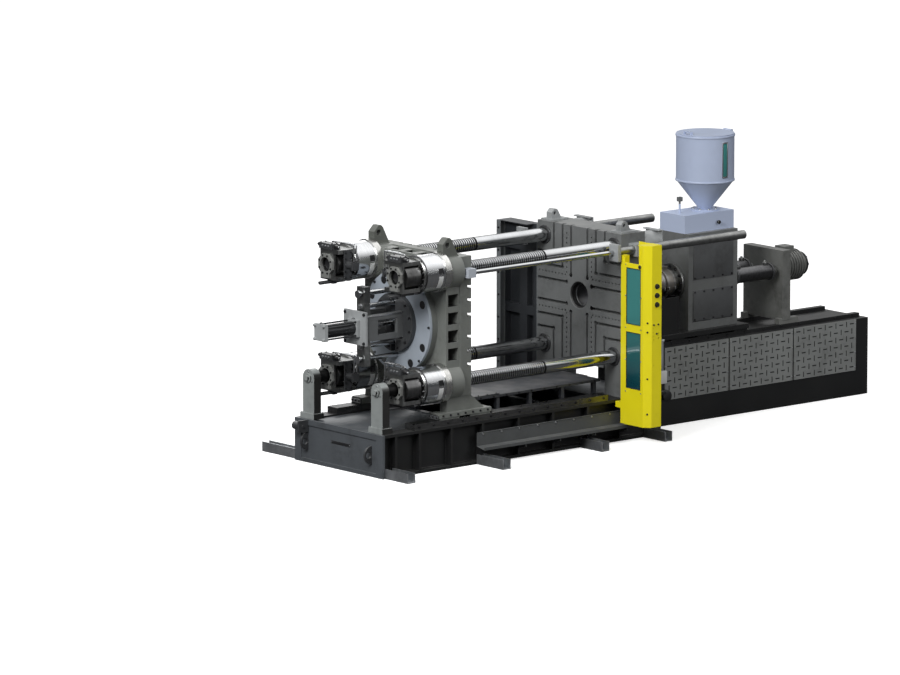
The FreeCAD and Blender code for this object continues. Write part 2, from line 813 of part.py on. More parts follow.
def half_nut(side, level, inner):
    """Half-nut in its open place; its teeth face the grooves of the bar."""
    centre_y = side * half_y
    z = mid + level * half_z
    root = tie_radius - groove_depth + tooth_clearance
    mouth = tie_radius + tooth_clearance
    first = last_tooth_x - groove_pitch * (nut_teeth - 1)
    outline = [(first - nut_end_margin, nut_outer_radius), (first - nut_end_margin, mouth)]
    for tooth in range(nut_teeth):
        centre = first + groove_pitch * tooth
        outline += [
            (centre - groove_mouth / 2 + 2 * tooth_clearance, mouth),
            (centre - groove_root / 2 + tooth_clearance, root),
            (centre + groove_root / 2 - tooth_clearance, root),
            (centre + groove_mouth / 2 - 2 * tooth_clearance, mouth),
        ]
    outline += [(last_tooth_x + nut_end_margin, mouth), (last_tooth_x + nut_end_margin, nut_outer_radius)]
    shape = turned_x(outline, centre_y, z, 2 * nut_half_angle)
    outward = side * (-1 if inner else 1)
    # the sweep starts straight up; turn it so that its middle points outward along Y
    start = -90.0 * outward - nut_half_angle
    shape.rotate(vec(0, centre_y, z), vec(1, 0, 0), start)
    shape.translate(vec(0, outward * nut_travel, 0))
    if inner:
        shank = nut_outer_radius + nut_travel
        rod = rod_y(nut_middle_x, toward_axis(side, shank - 12.0, shank + 110.0), z, nut_rod_radius)
        shape = joined([shape, rod])
    return shape


housings = [nut_housing(side, level) for side, level in bars]
save("nut_housings_with_pistons", housings + [clamp_piston(side, level) for side, level in bars])
save("nut_end_rings", [end_ring(side, level) for side, level in bars])
save("nut_opening_cylinders", [opening_cylinder(side, level) for side, level in bars])
valves = [valve_block(side, level) for side, level in bars]
save("nut_valves_and_sensors", valves + [position_sensor(side, level) for side, level in bars])
for side, level in bars:
    for inner in (False, True):
        name = "half_nut_" + level_name[level] + "_" + side_name[side] + ("_inner" if inner else "_outer")
        save(name, [half_nut(side, level, inner)])


# ---------------------------------------------------------------- ejector
crosshead_left = flange_plate_x + 51.0
crosshead_x = crosshead_left + crosshead_thick
front_cap_x = flange_plate_x - ejector_plate_thick
tube_left = front_cap_x - cylinder_length
cylinder_left = tube_left - cap_thick


def ejector_frame():
    """Square flange plate on two cheeks with windows, bolted to the disc."""
    half = ejector_plate / 2
    pieces = [block((front_cap_x, flange_plate_x), (-half, half), (mid - half, mid + half))]
    for side in (-1, 1):
        y = tuple(sorted((side * cheek_inner, side * (cheek_inner + cheek_thick))))
        cheek = block((flange_plate_x, disc_x), y, (mid - cheek_half_height, mid + cheek_half_height))
        window = block((flange_plate_x + 150.0, disc_x - 120.0), (y[0] - 1, y[1] + 1),
                       (mid - 75.0, mid + 75.0))
        foot = block((disc_x - 26.0, disc_x), tuple(sorted((side * cheek_inner, side * 215.0))),
                     (mid - 190.0, mid + 190.0))
        pieces += [cheek.cut(window), foot]
    frame = joined(pieces)
    cuts = [rod_x((front_cap_x - 1, flange_plate_x + 1), 0, mid, piston_rod_radius + slide_clearance)]
    return frame.cut(cuts)


def cylinder_caps():
    half = cylinder_cap / 2
    rear = block((cylinder_left, tube_left), (-half, half), (mid - half, mid + half))
    front = block((front_cap_x - cap_thick, front_cap_x), (-half, half), (mid - half, mid + half))
    tie = half - 17.0
    cuts = []
    for y in (-tie, tie):
        for z in (-tie, tie):
            cuts.append(rod_x((cylinder_left - 1, front_cap_x + 1), y, mid + z, 9.0 + seat_clearance))
    cuts.append(rod_x((front_cap_x - cap_thick - 1, front_cap_x + 1), 0, mid,
                      piston_rod_radius + slide_clearance))
    return [rear.cut(cuts), front.cut(cuts)]


def cylinder_tie_rods():
    tie = cylinder_cap / 2 - 17.0
    rods = []
    for y in (-tie, tie):
        for z in (-tie, tie):
            rod = rod_x((cylinder_left - 26.0, front_cap_x), y, mid + z, 9.0)
            nut = rod_x((cylinder_left - 18.0, cylinder_left), y, mid + z, 15.0)
            rods.append(joined([rod, nut]))
    return rods


def guide_rods():
    rods = []
    for level in (-1, 1):
        z = mid + level * guide_rod_height
        rod = rod_x((crosshead_left - 30.0, disc_x), 0, z, guide_rod_radius)
        collar = rod_x((crosshead_left - 45.0, crosshead_left - 18.0), 0, z, guide_rod_radius + 13.0)
        rods.append(joined([rod, collar]))
    return rods


def crosshead():
    """Upright beam that carries the ejector rods and slides on the guide rods."""
    x = (crosshead_left, crosshead_x)
    half = crosshead_width / 2
    beam = block(x, (-half, half), (mid - crosshead_half_height, mid + crosshead_half_height))
    cuts = []
    for level in (-1, 1):
        cuts.append(rod_x((x[0] - 1, x[1] + 1), 0, mid + level * guide_rod_height,
                          guide_rod_radius + slide_clearance))
    for z in ejector_levels:
        cuts.append(rod_x((crosshead_x - 40.0, x[1] + 1), 0, mid + z, ejector_rod_radius + seat_clearance))
    return beam.cut(cuts)


def ejector_rods():
    x = (crosshead_x - 40.0, front_x - 10.0)
    return [rod_x(x, 0, mid + z, ejector_rod_radius) for z in ejector_levels]


def ejector_piston():
    left = tube_left + 12.0
    rod = rod_x((left, crosshead_left), 0, mid, piston_rod_radius)
    head = rod_x((left, left + 45.0), 0, mid, cylinder_bore - slide_clearance)
    return joined([rod, head])


save("ejector_frame", [ejector_frame()])
cylinder_tube = tube_x((tube_left, front_cap_x - cap_thick), 0, mid, cylinder_outer, cylinder_bore)
save("ejector_cylinder", [cylinder_tube] + cylinder_caps() + cylinder_tie_rods())
save("ejector_guide_rods", guide_rods())
save("ejector_crosshead", [crosshead()])
save("ejector_rods", ejector_rods() + [ejector_piston()])

# ---------------------------------------------------------------- platen traverse cylinders
traverse_y = half_w + 60.0
traverse_height = 540.0
traverse_rod = 22.5
traverse_bore = 38.0
traverse_outer = 45.0
traverse_right = 1600.0
traverse_block = 40.0
traverse_left = -165.0


def traverse_rod_piece(side):
    y = side * traverse_y
    z = mid + traverse_height
    right = traverse_left + 120.0
    return joined([
        rod_x((plate_x + 119.0, right), y, z, traverse_rod),
        rod_x((right - 50.0, right), y, z, traverse_bore - slide_clearance),
    ])


def traverse_clevis(side):
    """Pale bracket that ties the rod's end to the side of the moving platen."""
    z = mid + traverse_height
    y = tuple(sorted((side * half_w, side * (traverse_y + 45.0))))
    return block((plate_x + 19.0, plate_x + 119.0), y, (z - 45.0, z + 45.0))


def traverse_barrel(side):
    y = side * traverse_y
    z = mid + traverse_height
    start = traverse_left + traverse_block
    barrel = tube_x((start, traverse_right), y, z, traverse_outer, traverse_bore)
    end = rod_x((traverse_right, traverse_right + 20.0), y, z, traverse_outer)
    return joined([barrel, end])


def traverse_flange(side):
    z = mid + traverse_height
    y = tuple(sorted((side * (half_w + 5.0), side * (traverse_y + 80.0))))
    plate = block((traverse_left, traverse_left + traverse_block), y, (z - 85.0, z + 85.0))
    bore = rod_x((traverse_left - 1, traverse_left + traverse_block + 1), side * traverse_y, z,
                 traverse_rod + slide_clearance)
    return plate.cut(bore)


def traverse_mount(side):
    """Block on the stationary platen's side that holds the barrel."""
    z = mid + traverse_height
    y = tuple(sorted((side * half_w, side * (traverse_y + 62.0))))
    body = block((100.0, 220.0), y, (z - 62.0, z + 62.0))
    return body.cut(rod_x((99.0, 221.0), side * traverse_y, z, traverse_outer + seat_clearance))


traverse_pieces = [traverse_rod_piece(-1), traverse_rod_piece(1), traverse_clevis(-1), traverse_clevis(1)]
save("traverse_rods", traverse_pieces)
save("traverse_barrels", [traverse_barrel(-1), traverse_barrel(1)])
save("traverse_mounts", [traverse_flange(-1), traverse_flange(1), traverse_mount(-1), traverse_mount(1)])

# ---------------------------------------------------------------- drop platform
platform_top = platen_bottom - 100.0
platform_thick = 25.0
platform_half = 400.0
platform_left = front_x + 85.0
platform_right = -60.0
platform = block((platform_left, platform_right), (-platform_half, platform_half),
                 (platform_top - platform_thick, platform_top))
supports = []
support_count = 5
for index in range(support_count):
    left = platform_left + 40.0 + (platform_right - platform_left - 120.0) * index / (support_count - 1)
    for side in (-1, 1):
        post_y = tuple(sorted((side * (platform_half - 60.0), side * (platform_half - 20.0))))
        supports.append(block((left, left + 40.0), post_y, (bed_height, platform_top - platform_thick)))
sill_half = bed_half - flange_width
for side in (-1, 1):
    sill_y = tuple(sorted((side * (platform_half - 80.0), side * sill_half)))
    supports.append(block((platform_left, platform_right - 30.0), sill_y,
                          (bed_height - flange_thick, bed_height)))
cover_gap = 3.0
cover_thick = 8.0
cover_right = platform_left + 500.0
cover_low = platform_top + cover_gap
cover = joined([
    block((front_x - 40.0, cover_right), (-platform_half + 8.0, platform_half - 8.0),
          (cover_low, cover_low + cover_thick)),
    block((front_x - 40.0, front_x - 28.0), (-platform_half + 8.0, platform_half - 8.0),
          (cover_low, platen_bottom)),
])
save("drop_platform", [platform] + supports)
save("moving_cover", [cover])

# ---------------------------------------------------------------- side tray
tray_left = -1950.0
tray_right = 130.0
tray_back = bed_half
tray_top = 318.0
tray_fold = 180.0
tray_reach = 120.0
tray_drop = 26.0
tray_lip = 30.0
tray_sheet = 3.0


def folded_sheet(points, thick, x):
    """Sheet of even thickness that follows a folded line of (y, z) points."""
    count = len(points)
    offset = []
    for index, (y, z) in enumerate(points):
        before = points[max(index - 1, 0)]
        after = points[min(index + 1, count - 1)]
        normals = []
        for start, end in ((before, (y, z)), ((y, z), after)):
            dy = end[0] - start[0]
            dz = end[1] - start[1]
            size = math.hypot(dy, dz)
            if size > 0:
                normals.append((-dz / size, dy / size))
        ny = sum(n[0] for n in normals) / len(normals)
        nz = sum(n[1] for n in normals) / len(normals)
        square = ny * ny + nz * nz
        offset.append((y + thick * ny / square, z + thick * nz / square))
    return plate_along_x(points + offset[::-1], x)


tray_points = [(-tray_back, tray_top), (-tray_back, tray_fold),
               (-tray_back - tray_reach, tray_fold - tray_drop),
               (-tray_back - tray_reach, tray_fold - tray_drop + tray_lip)]
tray = folded_sheet(tray_points, -tray_sheet, (tray_left, tray_right))
tray_brackets = []
for station in (rib_stations[4], rib_stations[5], rib_stations[6], rib_stations[7]):
    tip = tray_reach - 10.0
    tip_z = tray_fold - tray_drop * tip / tray_reach
    outline = [(-tray_back, tray_fold), (-tray_back, tray_fold - 90.0), (-tray_back - tip, tip_z - 30.0),
               (-tray_back - tip, tip_z)]
    tray_brackets.append(plate_along_x(outline, (station - 6.0, station + 6.0)))
save("side_tray", [tray] + tray_brackets)


# ---------------------------------------------------------------- guard post, operator's side
def guard_post():
    """Folded shell: end face, broad front face, bevel and a short lip, closed top and bottom."""
    outer = [(post_right, -post_inner), (post_right, -post_outer), (post_left + post_bevel, -post_outer),
             (post_left, -post_outer + post_bevel), (post_left, -post_outer + post_bevel + 22.0)]
    w = post_wall
    slant = w * math.tan(math.radians(22.5))
    inner = [(post_left + w, -post_outer + post_bevel + 22.0),
             (post_left + w, -post_outer + post_bevel + slant),
             (post_left + post_bevel + slant, -post_outer + w), (post_right - w, -post_outer + w),
             (post_right - w, -post_inner)]
    shell = plate_along_z(outer + inner, (post_bottom, post_top - w))
    lid = plate_along_z([(post_right, -post_outer + 150.0)] + outer[1:4] + [(post_left, -post_outer + 150.0)],
                        (post_top - w, post_top))
    floor = plate_along_z(outer[0:4] + [(post_left, -post_inner)], (post_bottom - w, post_bottom))
    shell = joined([shell, lid, floor])
    cuts = []
    for z in button_heights:
        cuts.append(rod_y(button_x, (-post_outer - 1, -post_outer + w + 1), z, button_radius - 5.0))
    for z in (1098.0, 1136.0, 1174.0, 1212.0, 835.0):
        cuts.append(rod_y(button_x - 40.0, (-post_outer - 1, -post_outer + w + 1), z, 5.0))
    for z in (1110.0, 1160.0):
        cuts.append(rod_y(button_x + 24.0, (-post_outer - 1, -post_outer + w + 1), z, 7.0))
    return shell.cut(cuts)


frame_outer_y = -post_outer + post_bevel + 22.0
window_x = (post_left, post_left + window_frame_thick)
upper_window = (1233.0, 1808.0)
lower_window = (578.0, 1155.0)
window_y = (frame_outer_y + 16.0, -post_inner - 22.0)


def window_frame():
    frame = block(window_x, (frame_outer_y, -post_inner), (post_bottom, window_frame_top))
    cuts = [block((window_x[0] - 1, window_x[1] + 1), window_y, z) for z in (upper_window, lower_window)]
    return frame.cut(cuts)


def window(z):
    pane_x = (post_left + 4.0, post_left + 9.0)
    gap = seat_clearance
    return block(pane_x, (window_y[0] + gap, window_y[1] - gap), (z[0] + gap, z[1] - gap))


def inner_tube():
    x = (post_left, post_left + 60.0)
    y = (-post_inner, -post_inner + 60.0)
    outer = block(x, y, (post_bottom, axis_height + 520.0))
    room = block((x[0] + 4, x[1] - 4), (y[0] + 4, y[1] - 4), (post_bottom - 1, axis_height + 516.0))
    return outer.cut(room)


def post_bracket(z):
    """Arm from the bed's side to the foot of the post's inner tube."""
    return block((post_left, post_left + 60.0), (-post_inner + 60.0, -bed_half), (z, z + 60.0))


def push_button(z):
    """Cap and stem of one push button; the stem runs in its collar."""
    face = -post_outer - 11.0
    cap = rod_y(button_x, (face - 9.0, face), z, button_radius - 6.0)
    stem = rod_y(button_x, (face, -post_outer + 34.0), z, 9.0)
    return joined([cap, stem])


def button_collar(z):
    collar = rod_y(button_x, (-post_outer - 4.0, -post_outer), z, button_radius)
    sleeve = rod_y(button_x, (-post_outer, -post_outer + 26.0), z, button_radius - 5.3)
    bore = rod_y(button_x, (-post_outer - 5.0, -post_outer + 27.0), z, 9.0 + slide_clearance)
    return joined([collar, sleeve]).cut(bore)


save("guard_post_front", [guard_post()])
save("guard_window_frame", [window_frame(), inner_tube(), post_bracket(bed_height - 74.0)])
save("guard_windows", [window(upper_window), window(lower_window)])
save("button_collars", [button_collar(z) for z in button_heights])
for z, name in zip(button_heights, ("lower", "middle", "upper")):
    save("push_button_" + name, [push_button(z)])

# ---------------------------------------------------------------- guard column, far side
column_outer = 1158.0
column_depth = 84.0
column_top = axis_height + 648.0
pocket_deep = 70.0


def guard_column():
    low_inner = bed_half + 8.0
    outline = [(half_w, bed_height), (low_inner, bed_height), (low_inner, post_bottom),
               (column_outer, post_bottom),
               (column_outer, column_top), (half_w, column_top)]
    panel = plate_along_x(outline, (0, column_depth))
    flange = block((post_left, 0), (column_outer - 8.0, column_outer), (post_bottom, column_top))
    lip = block((post_left, post_left + 8.0), (column_outer - 60.0, column_outer - 8.0),
                (post_bottom, column_top))
    cap = block((post_left + 8.0, 0), (half_w + 60.0, column_outer - 8.0), (column_top - 8.0, column_top))
    column = joined([panel, flange, lip, cap])
    cuts = []
    for low, high in ((-900.0, -305.0), (-212.0, 354.0)):
        for y in ((half_w + 60.0, 800.0), (914.0, column_outer - 20.0)):
            cuts.append(block((-1, pocket_deep), y, (mid + low, mid + high)))
    cuts.append(rod_x((-1, column_depth + 1), traverse_y, mid + traverse_height, traverse_outer + 3.0))
    return column.cut(cuts)


save("guard_column_rear", [guard_column()])

# ---------------------------------------------------------------- injection bed
inj_left = bed_right
inj_top = injection_bed_height
inj_wall = 12.0
panel_thick = 8.0
panel_length = 880.0
panel_pitch = 900.0
panel_left = 843.0
panel_count = 3
panel_z = (266.0, inj_top)
shell_half = injection_half_width - panel_thick


def injection_bed():
    """Welded cabinet with partitions; its sides are open behind the vent panels."""
    x = (inj_left, injection_right)
    outer = block(x, (-shell_half, shell_half), (0, inj_top))
    rooms = []
    partition_pitch = panel_pitch / 2
    left = inj_left + inj_wall
    stop = panel_left
    while left < injection_right - inj_wall - 1.0:
        right = min(stop - inj_wall / 2, injection_right - inj_wall)
        rooms.append(block((left, right), (-shell_half + inj_wall, shell_half - inj_wall),
                           (-1.0, inj_top - 30.0)))
        left = stop + inj_wall / 2
        stop += partition_pitch
    bed = outer.cut(rooms)
    cuts = []
    for index in range(panel_count):
        start = panel_left + panel_pitch * index
        cuts.append(block((start + 30.0, start + panel_length - 30.0), (-shell_half - 1, shell_half + 1),
                          (panel_z[0] + 30.0, panel_z[1] - 60.0)))
    keep = []
    stop = panel_left
    while stop < injection_right:
        keep.append(block((stop - inj_wall / 2, stop + inj_wall / 2),
                          (-shell_half + inj_wall, shell_half - inj_wall),
                          (0, inj_top - 30.0)))
        stop += partition_pitch
    return joined([bed.cut(cuts)] + keep)


def slot_wire(x, z, width, height, y):
    corners = [vec(x - width / 2, y, z - height / 2), vec(x + width / 2, y, z - height / 2),
               vec(x + width / 2, y, z + height / 2), vec(x - width / 2, y, z + height / 2)]
    return Part.makePolygon(corners + [corners[0]])


def vent_panel(side, index):
    """Sheet panel with slots that lie and stand in turn, like a basket weave."""
    left = panel_left + panel_pitch * index
    y = shell_half if side > 0 else -injection_half_width
    cell = 60.0
    slot = (42.0, 11.0)
    plate = block((left, left + panel_length), (y, y + panel_thick), panel_z)
    columns = int((panel_length - 70.0) / cell)
    rows = int((panel_z[1] - panel_z[0] - 100.0) / cell)
    wires = []
    for column in range(columns):
        for row in range(rows):
            x = left + 65.0 + cell * column
            z = panel_z[0] + 62.0 + cell * row
            width, height = slot if (column + row) % 2 else (slot[1], slot[0])
            wires.append(Part.Face(slot_wire(x, z, width, height, y - 1)).extrude(vec(0, panel_thick + 2, 0)))
    return plate.cut(wires)


panels = [vent_panel(side, index) for side in (-1, 1) for index in range(panel_count)]
save("injection_vent_panels", panels)
irail_top = inj_top + injection_rail_height
irail_y = 260.0
irail_half = 35.0
bed_and_rails = [injection_bed()]
for side in (-1, 1):
    rail_span = (side * irail_y - irail_half, side * irail_y + irail_half)
    bed_and_rails.append(block((inj_left + 40.0, injection_right - 60.0), rail_span, (inj_top, irail_top)))
save("injection_bed", bed_and_rails)


# ---------------------------------------------------------------- purge guard behind the platen
def purge_side(side):
    """Light truss of square bar: rails, posts and a diagonal."""
    bar = 26.0
    y = tuple(sorted((side * 300.0, side * (300.0 + bar))))
    left = fixed_platen_thick
    right = 800.0
    low = mid + 60.0
    high = mid + 250.0
    slope = [(left, low), (left + 40.0, low), (right, high - bar), (right, high), (right - 40.0, high)]
    return joined([
        block((left, right), y, (low, low + bar)),
        block((left, right), y, (high - bar, high)),
        block((right - bar, right), y, (low, high)),
        block((left, left + bar), y, (low, high)),
        plate_along_y(slope, y),
    ])


save("purge_guard_frame", [purge_side(-1), purge_side(1)])

# ---------------------------------------------------------------- injection carriage
carriage_bottom = irail_top + slide_clearance
carriage_top = mid - 480.0
carriage_left = 810.0
carriage_right = 2050.0


def carriage_base():
    shoe_half = irail_half + 25.0
    pieces = [block((carriage_left, carriage_right), (-irail_y - shoe_half, irail_y + shoe_half),
                    (carriage_bottom + 20.0, carriage_top))]
    for side in (-1, 1):
        for x in (carriage_left + 190.0, 1360.0, carriage_right - 180.0):
            pieces.append(block((x, x + 180.0), (side * irail_y - irail_half, side * irail_y + irail_half),
                                (carriage_bottom, carriage_bottom + 21.0)))
    return joined(pieces)


def front_cover():
    """Open-topped dark tray on the carriage, cut out round the barrel."""
    x = (carriage_left, carriage_left + 290.0)
    y = (-300.0, 300.0)
    z = (carriage_top, mid - 99.0)
    tray = block(x, y, z).cut(block((x[0] + 6, x[1] - 6), (y[0] + 6, y[1] - 6), (z[0] + 6, z[1] + 1)))
    return tray.cut(rod_x((x[0] - 1, x[1] + 1), 0, mid, 170.0))


def injection_housing():
    x = (housing_left, housing_right)
    body = block(x, (-housing_half, housing_half), (carriage_top, mid + throat_height))
    cuts = [
        rod_x((x[0] - 1, x[1] + 1), 0, mid, barrel_radius + seat_clearance),
        rod_z(hopper_x, 0, (mid, mid + throat_height + 1), feed_radius),
    ]
    for side in (-1, 1):
        y = tuple(sorted((side * (housing_half - 60.0), side * (housing_half + 1))))
        for left in (housing_left + 60.0, housing_left + 370.0):
            cuts.append(block((left, left + 250.0), y, (carriage_top + 80.0, mid - 180.0)))
    return body.cut(cuts)


def throat_box():
    z = (mid + throat_height, mid + throat_height + throat_box_height)
    box = block((housing_left, housing_right), (-190.0, 190.0), z)
    return box.cut(rod_z(hopper_x, 0, (z[0] - 1, z[1] + 1), feed_radius))


def barrel():
    """Heated cylinder with its screw bore and feed opening."""
    body = tube_x((barrel_left, housing_right), 0, mid, barrel_radius, barrel_bore)
    return body.cut(rod_z(hopper_x, 0, (mid, mid + barrel_radius + 1), feed_radius - 12.0))


def nozzle():
    outline = [(nozzle_tip, 4.0), (nozzle_tip, 14.0), (nozzle_tip + 22.0, 34.0), (nozzle_tip + 130.0, 38.0),
               (nozzle_tip + 140.0, 84.0), (barrel_left, 104.0), (barrel_left, barrel_bore - 10.0),
               (barrel_left - 70.0, 12.0), (nozzle_tip + 60.0, 4.0)]
    return turned_x(outline, 0, mid)


band_width = 118.0
band_gap = 24.0
band_thick = 14.0
band_count = 4


def heater_band(index):
    left = barrel_left + 20.0 + (band_width + band_gap) * index
    ring = tube_x((left, left + band_width), 0, mid, barrel_radius + band_thick,
                  barrel_radius + seat_clearance)
    box = block((left + 24.0, left + band_width - 24.0), (-30.0, 30.0),
                (mid + barrel_radius + band_thick - 4.0, mid + barrel_radius + band_thick + 34.0))
    return joined([ring, box])


save("carriage_base", [carriage_base(), front_cover()])
save("barrel", [barrel(), nozzle()])
save("heater_bands", [heater_band(index) for index in range(band_count)])

# hopper, its lid and the level post
gate_top = mid + throat_height + throat_box_height
hopper_low = gate_top
cone_top = hopper_low + 14.0 + hopper_cone_height
drum_top = cone_top + hopper_drum_height


def hopper():
    """Sheet hopper: bolted foot, cone and drum."""
    outer = feed_radius + 5.0
    inner = outer - hopper_wall
    outline = [(inner, hopper_low), (outer + 85.0, hopper_low), (outer + 85.0, hopper_low + 14.0),
               (outer + 1.0, hopper_low + 14.0), (hopper_radius, cone_top), (hopper_radius, drum_top),
               (hopper_radius - hopper_wall, drum_top), (hopper_radius - hopper_wall, cone_top + 2.0),
               (inner, hopper_low + 16.0)]
    face = polygon_face([vec(hopper_x + radius, 0, z) for radius, z in outline])
    return face.revolve(vec(hopper_x, 0, 0), vec(0, 0, 1), 360)


lid_hinge_x = hopper_x + hopper_radius + 22.0
lid_z = drum_top + 0.5


def hopper_lid():
    disc = rod_z(hopper_x, 0, (lid_z, lid_z + 6.0), hopper_radius - 1.0)
    handle = block((hopper_x - hopper_radius + 50.0, hopper_x - hopper_radius + 74.0), (-60.0, 60.0),
                   (lid_z + 6.0, lid_z + 40.0))
    grip = block((hopper_x - hopper_radius + 49.0, hopper_x - hopper_radius + 75.0), (-44.0, 44.0),
                 (lid_z + 6.0, lid_z + 26.0))
    knuckle = rod_y(lid_hinge_x, (-38.0, 38.0), lid_z + 3.0, 11.0)
    leaf = block((hopper_x + hopper_radius - 12.0, lid_hinge_x), (-38.0, 38.0), (lid_z, lid_z + 6.0))
    lid = joined([disc, handle.cut(grip), leaf, knuckle])
    return lid.cut(rod_y(lid_hinge_x, (-40.0, 40.0), lid_z + 3.0, 5.0 + slide_clearance))


def hinge_bracket():
    """Two ears on the drum's wall with the hinge pin between them."""
    ears = []
    for low, high in ((-56.0, -39.0), (39.0, 56.0)):
        ears.append(block((hopper_x + hopper_radius + seat_clearance, lid_hinge_x + 12.0), (low, high),
                          (lid_z - 60.0, lid_z + 13.0)))
    back = block((hopper_x + hopper_radius + seat_clearance, hopper_x + hopper_radius + 7.0), (-56.0, 56.0),
                 (lid_z - 60.0, lid_z - 22.0))
    pin = rod_y(lid_hinge_x, (-56.0, 56.0), lid_z + 3.0, 5.0)
    return joined(ears + [back, pin])


save("hopper", [hopper(), hinge_bracket()])
save("hopper_lid", [hopper_lid()])
post_x = 1371.0
level_post = joined([rod_z(post_x, 0, (gate_top, gate_top + 120.0), 11.0),
                     block((post_x - 24.0, post_x + 24.0), (-20.0, 20.0),
                           (gate_top + 120.0, gate_top + 165.0))])
save("injection_housing", [injection_housing(), throat_box(), level_post])

# ---------------------------------------------------------------- injection cylinders and screw drive
ram_y = 180.0
ram_outer = 78.0
ram_bore = 60.0
ram_rod = 34.0
ram_right = housing_right + 520.0
drive_left = ram_right + 70.0
drive_thick = 110.0
screw_core = 34.0
screw_left = barrel_left + 14.0
screw_flight_pitch = 90.0
flight_radius = barrel_bore - 0.4


def ram(side):
    y = side * ram_y
    body = tube_x((housing_right, ram_right), y, mid, ram_outer, ram_bore)
    cap = tube_x((ram_right - 40.0, ram_right), y, mid, ram_outer, ram_rod + slide_clearance)
    return joined([body, cap])


def ram_piston(side):
    y = side * ram_y
    left = housing_right + 60.0
    return joined([
        rod_x((left, left + 60.0), y, mid, ram_bore - slide_clearance),
        rod_x((left + 30.0, drive_left), y, mid, ram_rod),
    ])


def drive_plate():
    x = (drive_left, drive_left + drive_thick)
    plate = block(x, (-300.0, 300.0), (carriage_bottom + 40.0, mid + 220.0))
    pieces = [plate]
    for side in (-1, 1):
        pieces.append(block((x[0] - 40.0, x[1] + 120.0),
                            (side * irail_y - irail_half, side * irail_y + irail_half),
                            (carriage_bottom, carriage_bottom + 60.0)))
    return joined(pieces).cut(rod_x((x[0] - 1, x[1] + 1), 0, mid, screw_core + slide_clearance))


def drive_motor():
    left = drive_left + drive_thick
    shaft_room = rod_x((left - 1, left + 90.0), 0, mid, screw_core + slide_clearance)
    body = joined([
        rod_x((left, left + 60.0), 0, mid, 190.0),
        rod_x((left + 60.0, left + 330.0), 0, mid, 150.0),
        rod_x((left + 330.0, left + 410.0), 0, mid, 110.0),
        block((left + 120.0, left + 260.0), (-70.0, 70.0), (mid + 130.0, mid + 210.0)),
    ])
    return body.cut(shaft_room)


def screw():
    """Plasticising screw: core with a point and flights, and its drive shank."""
    flights_right = hopper_x + 180.0
    core = turned_x([(screw_left, 0), (screw_left + 46.0, screw_core),
                     (drive_left + drive_thick + 80.0, screw_core),
                     (drive_left + drive_thick + 80.0, 0)], 0, mid)
    length = flights_right - screw_left - 60.0
    helix = Part.makeHelix(screw_flight_pitch, length, screw_core - 2.0)
    profile = Part.makePolygon([vec(screw_core - 2.0, 0, 0), vec(flight_radius, 0, 1.0),
                                vec(flight_radius, 0, 11.0), vec(screw_core - 2.0, 0, 12.0),
                                vec(screw_core - 2.0, 0, 0)])
    flight = Part.Wire(helix).makePipeShell([profile], True, True)
    flight.rotate(vec(0, 0, 0), vec(0, 1, 0), 90)
    flight.translate(vec(screw_left + 50.0, 0, mid))
    return joined([core, flight])


save("injection_cylinders", [ram(-1), ram(1)])
save("screw_drive", [drive_plate(), drive_motor(), ram_piston(-1), ram_piston(1)])
save("screw", [screw()])
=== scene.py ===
import math

import bmesh
import bpy
from mathutils import Matrix, Vector


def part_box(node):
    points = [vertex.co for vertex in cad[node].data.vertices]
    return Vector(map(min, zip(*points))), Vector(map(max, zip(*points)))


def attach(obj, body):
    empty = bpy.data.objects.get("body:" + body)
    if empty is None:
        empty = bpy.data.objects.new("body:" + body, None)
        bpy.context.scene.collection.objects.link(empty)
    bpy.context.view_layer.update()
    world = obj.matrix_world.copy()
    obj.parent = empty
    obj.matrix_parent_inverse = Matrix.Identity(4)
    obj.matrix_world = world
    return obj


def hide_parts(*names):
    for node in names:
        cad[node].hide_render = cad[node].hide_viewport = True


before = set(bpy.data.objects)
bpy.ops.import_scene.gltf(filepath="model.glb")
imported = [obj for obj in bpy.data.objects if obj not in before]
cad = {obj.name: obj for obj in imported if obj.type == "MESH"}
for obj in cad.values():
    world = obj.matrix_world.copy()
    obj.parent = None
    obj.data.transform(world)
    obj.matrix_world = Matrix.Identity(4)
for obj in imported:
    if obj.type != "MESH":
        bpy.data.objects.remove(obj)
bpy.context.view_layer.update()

# ---- main places
axis_z = 1.403
bar_y, bar_z = 0.530, 0.560
corners = [(side, level) for side in (-1, 1) for level in (-1, 1)]
bed_half = -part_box("bed_front_beam")[0].y
bed_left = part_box("bed_cross_frames")[0].x
rail_low, rail_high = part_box("slideways")
fixed_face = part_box("stationary_platen")[0].x
moving_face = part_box("moving_platen")[1].x
disc_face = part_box("moving_platen_rear_disc")[0].x
post_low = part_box("guard_post_front")[0]
drum_radius = 0.190
drum_rings_left = -2.377
nut_left, nut_middle = -2.892, -2.7506
motor_radius = 0.150
ram_y = 0.180
hopper_x = 1.720
left_aim, right_aim, up_aim, front_aim = (-1.0, 0.0, 0.0), (1.0, 0.0, 0.0), (0.0, 0.0, 1.0), (0.0, -1.0, 0.0)


# ---- nodes
COLOUR, NUMBER, VECTOR = "NodeSocketColor", "NodeSocketFloat", "NodeSocketVector"


def feed(tree, node, values):
    """Link or set the inputs of a node by name or place."""
    for label, value in values.items():
        if isinstance(value, bpy.types.NodeSocket):
            tree.links.new(value, node.inputs[label])
        else:
            node.inputs[label].default_value = value


def add(tree, kind, values=None, **settings):
    """Add a node, set its options and feed its inputs."""
    node = tree.nodes.new(kind)
    for label, value in settings.items():
        setattr(node, label, value)
    feed(tree, node, values or {})
    return node


def noise(tree, vector, scale, detail=3.0):
    return add(tree, "ShaderNodeTexNoise", {"Vector": vector, "Scale": scale, "Detail": detail}).outputs["Fac"]


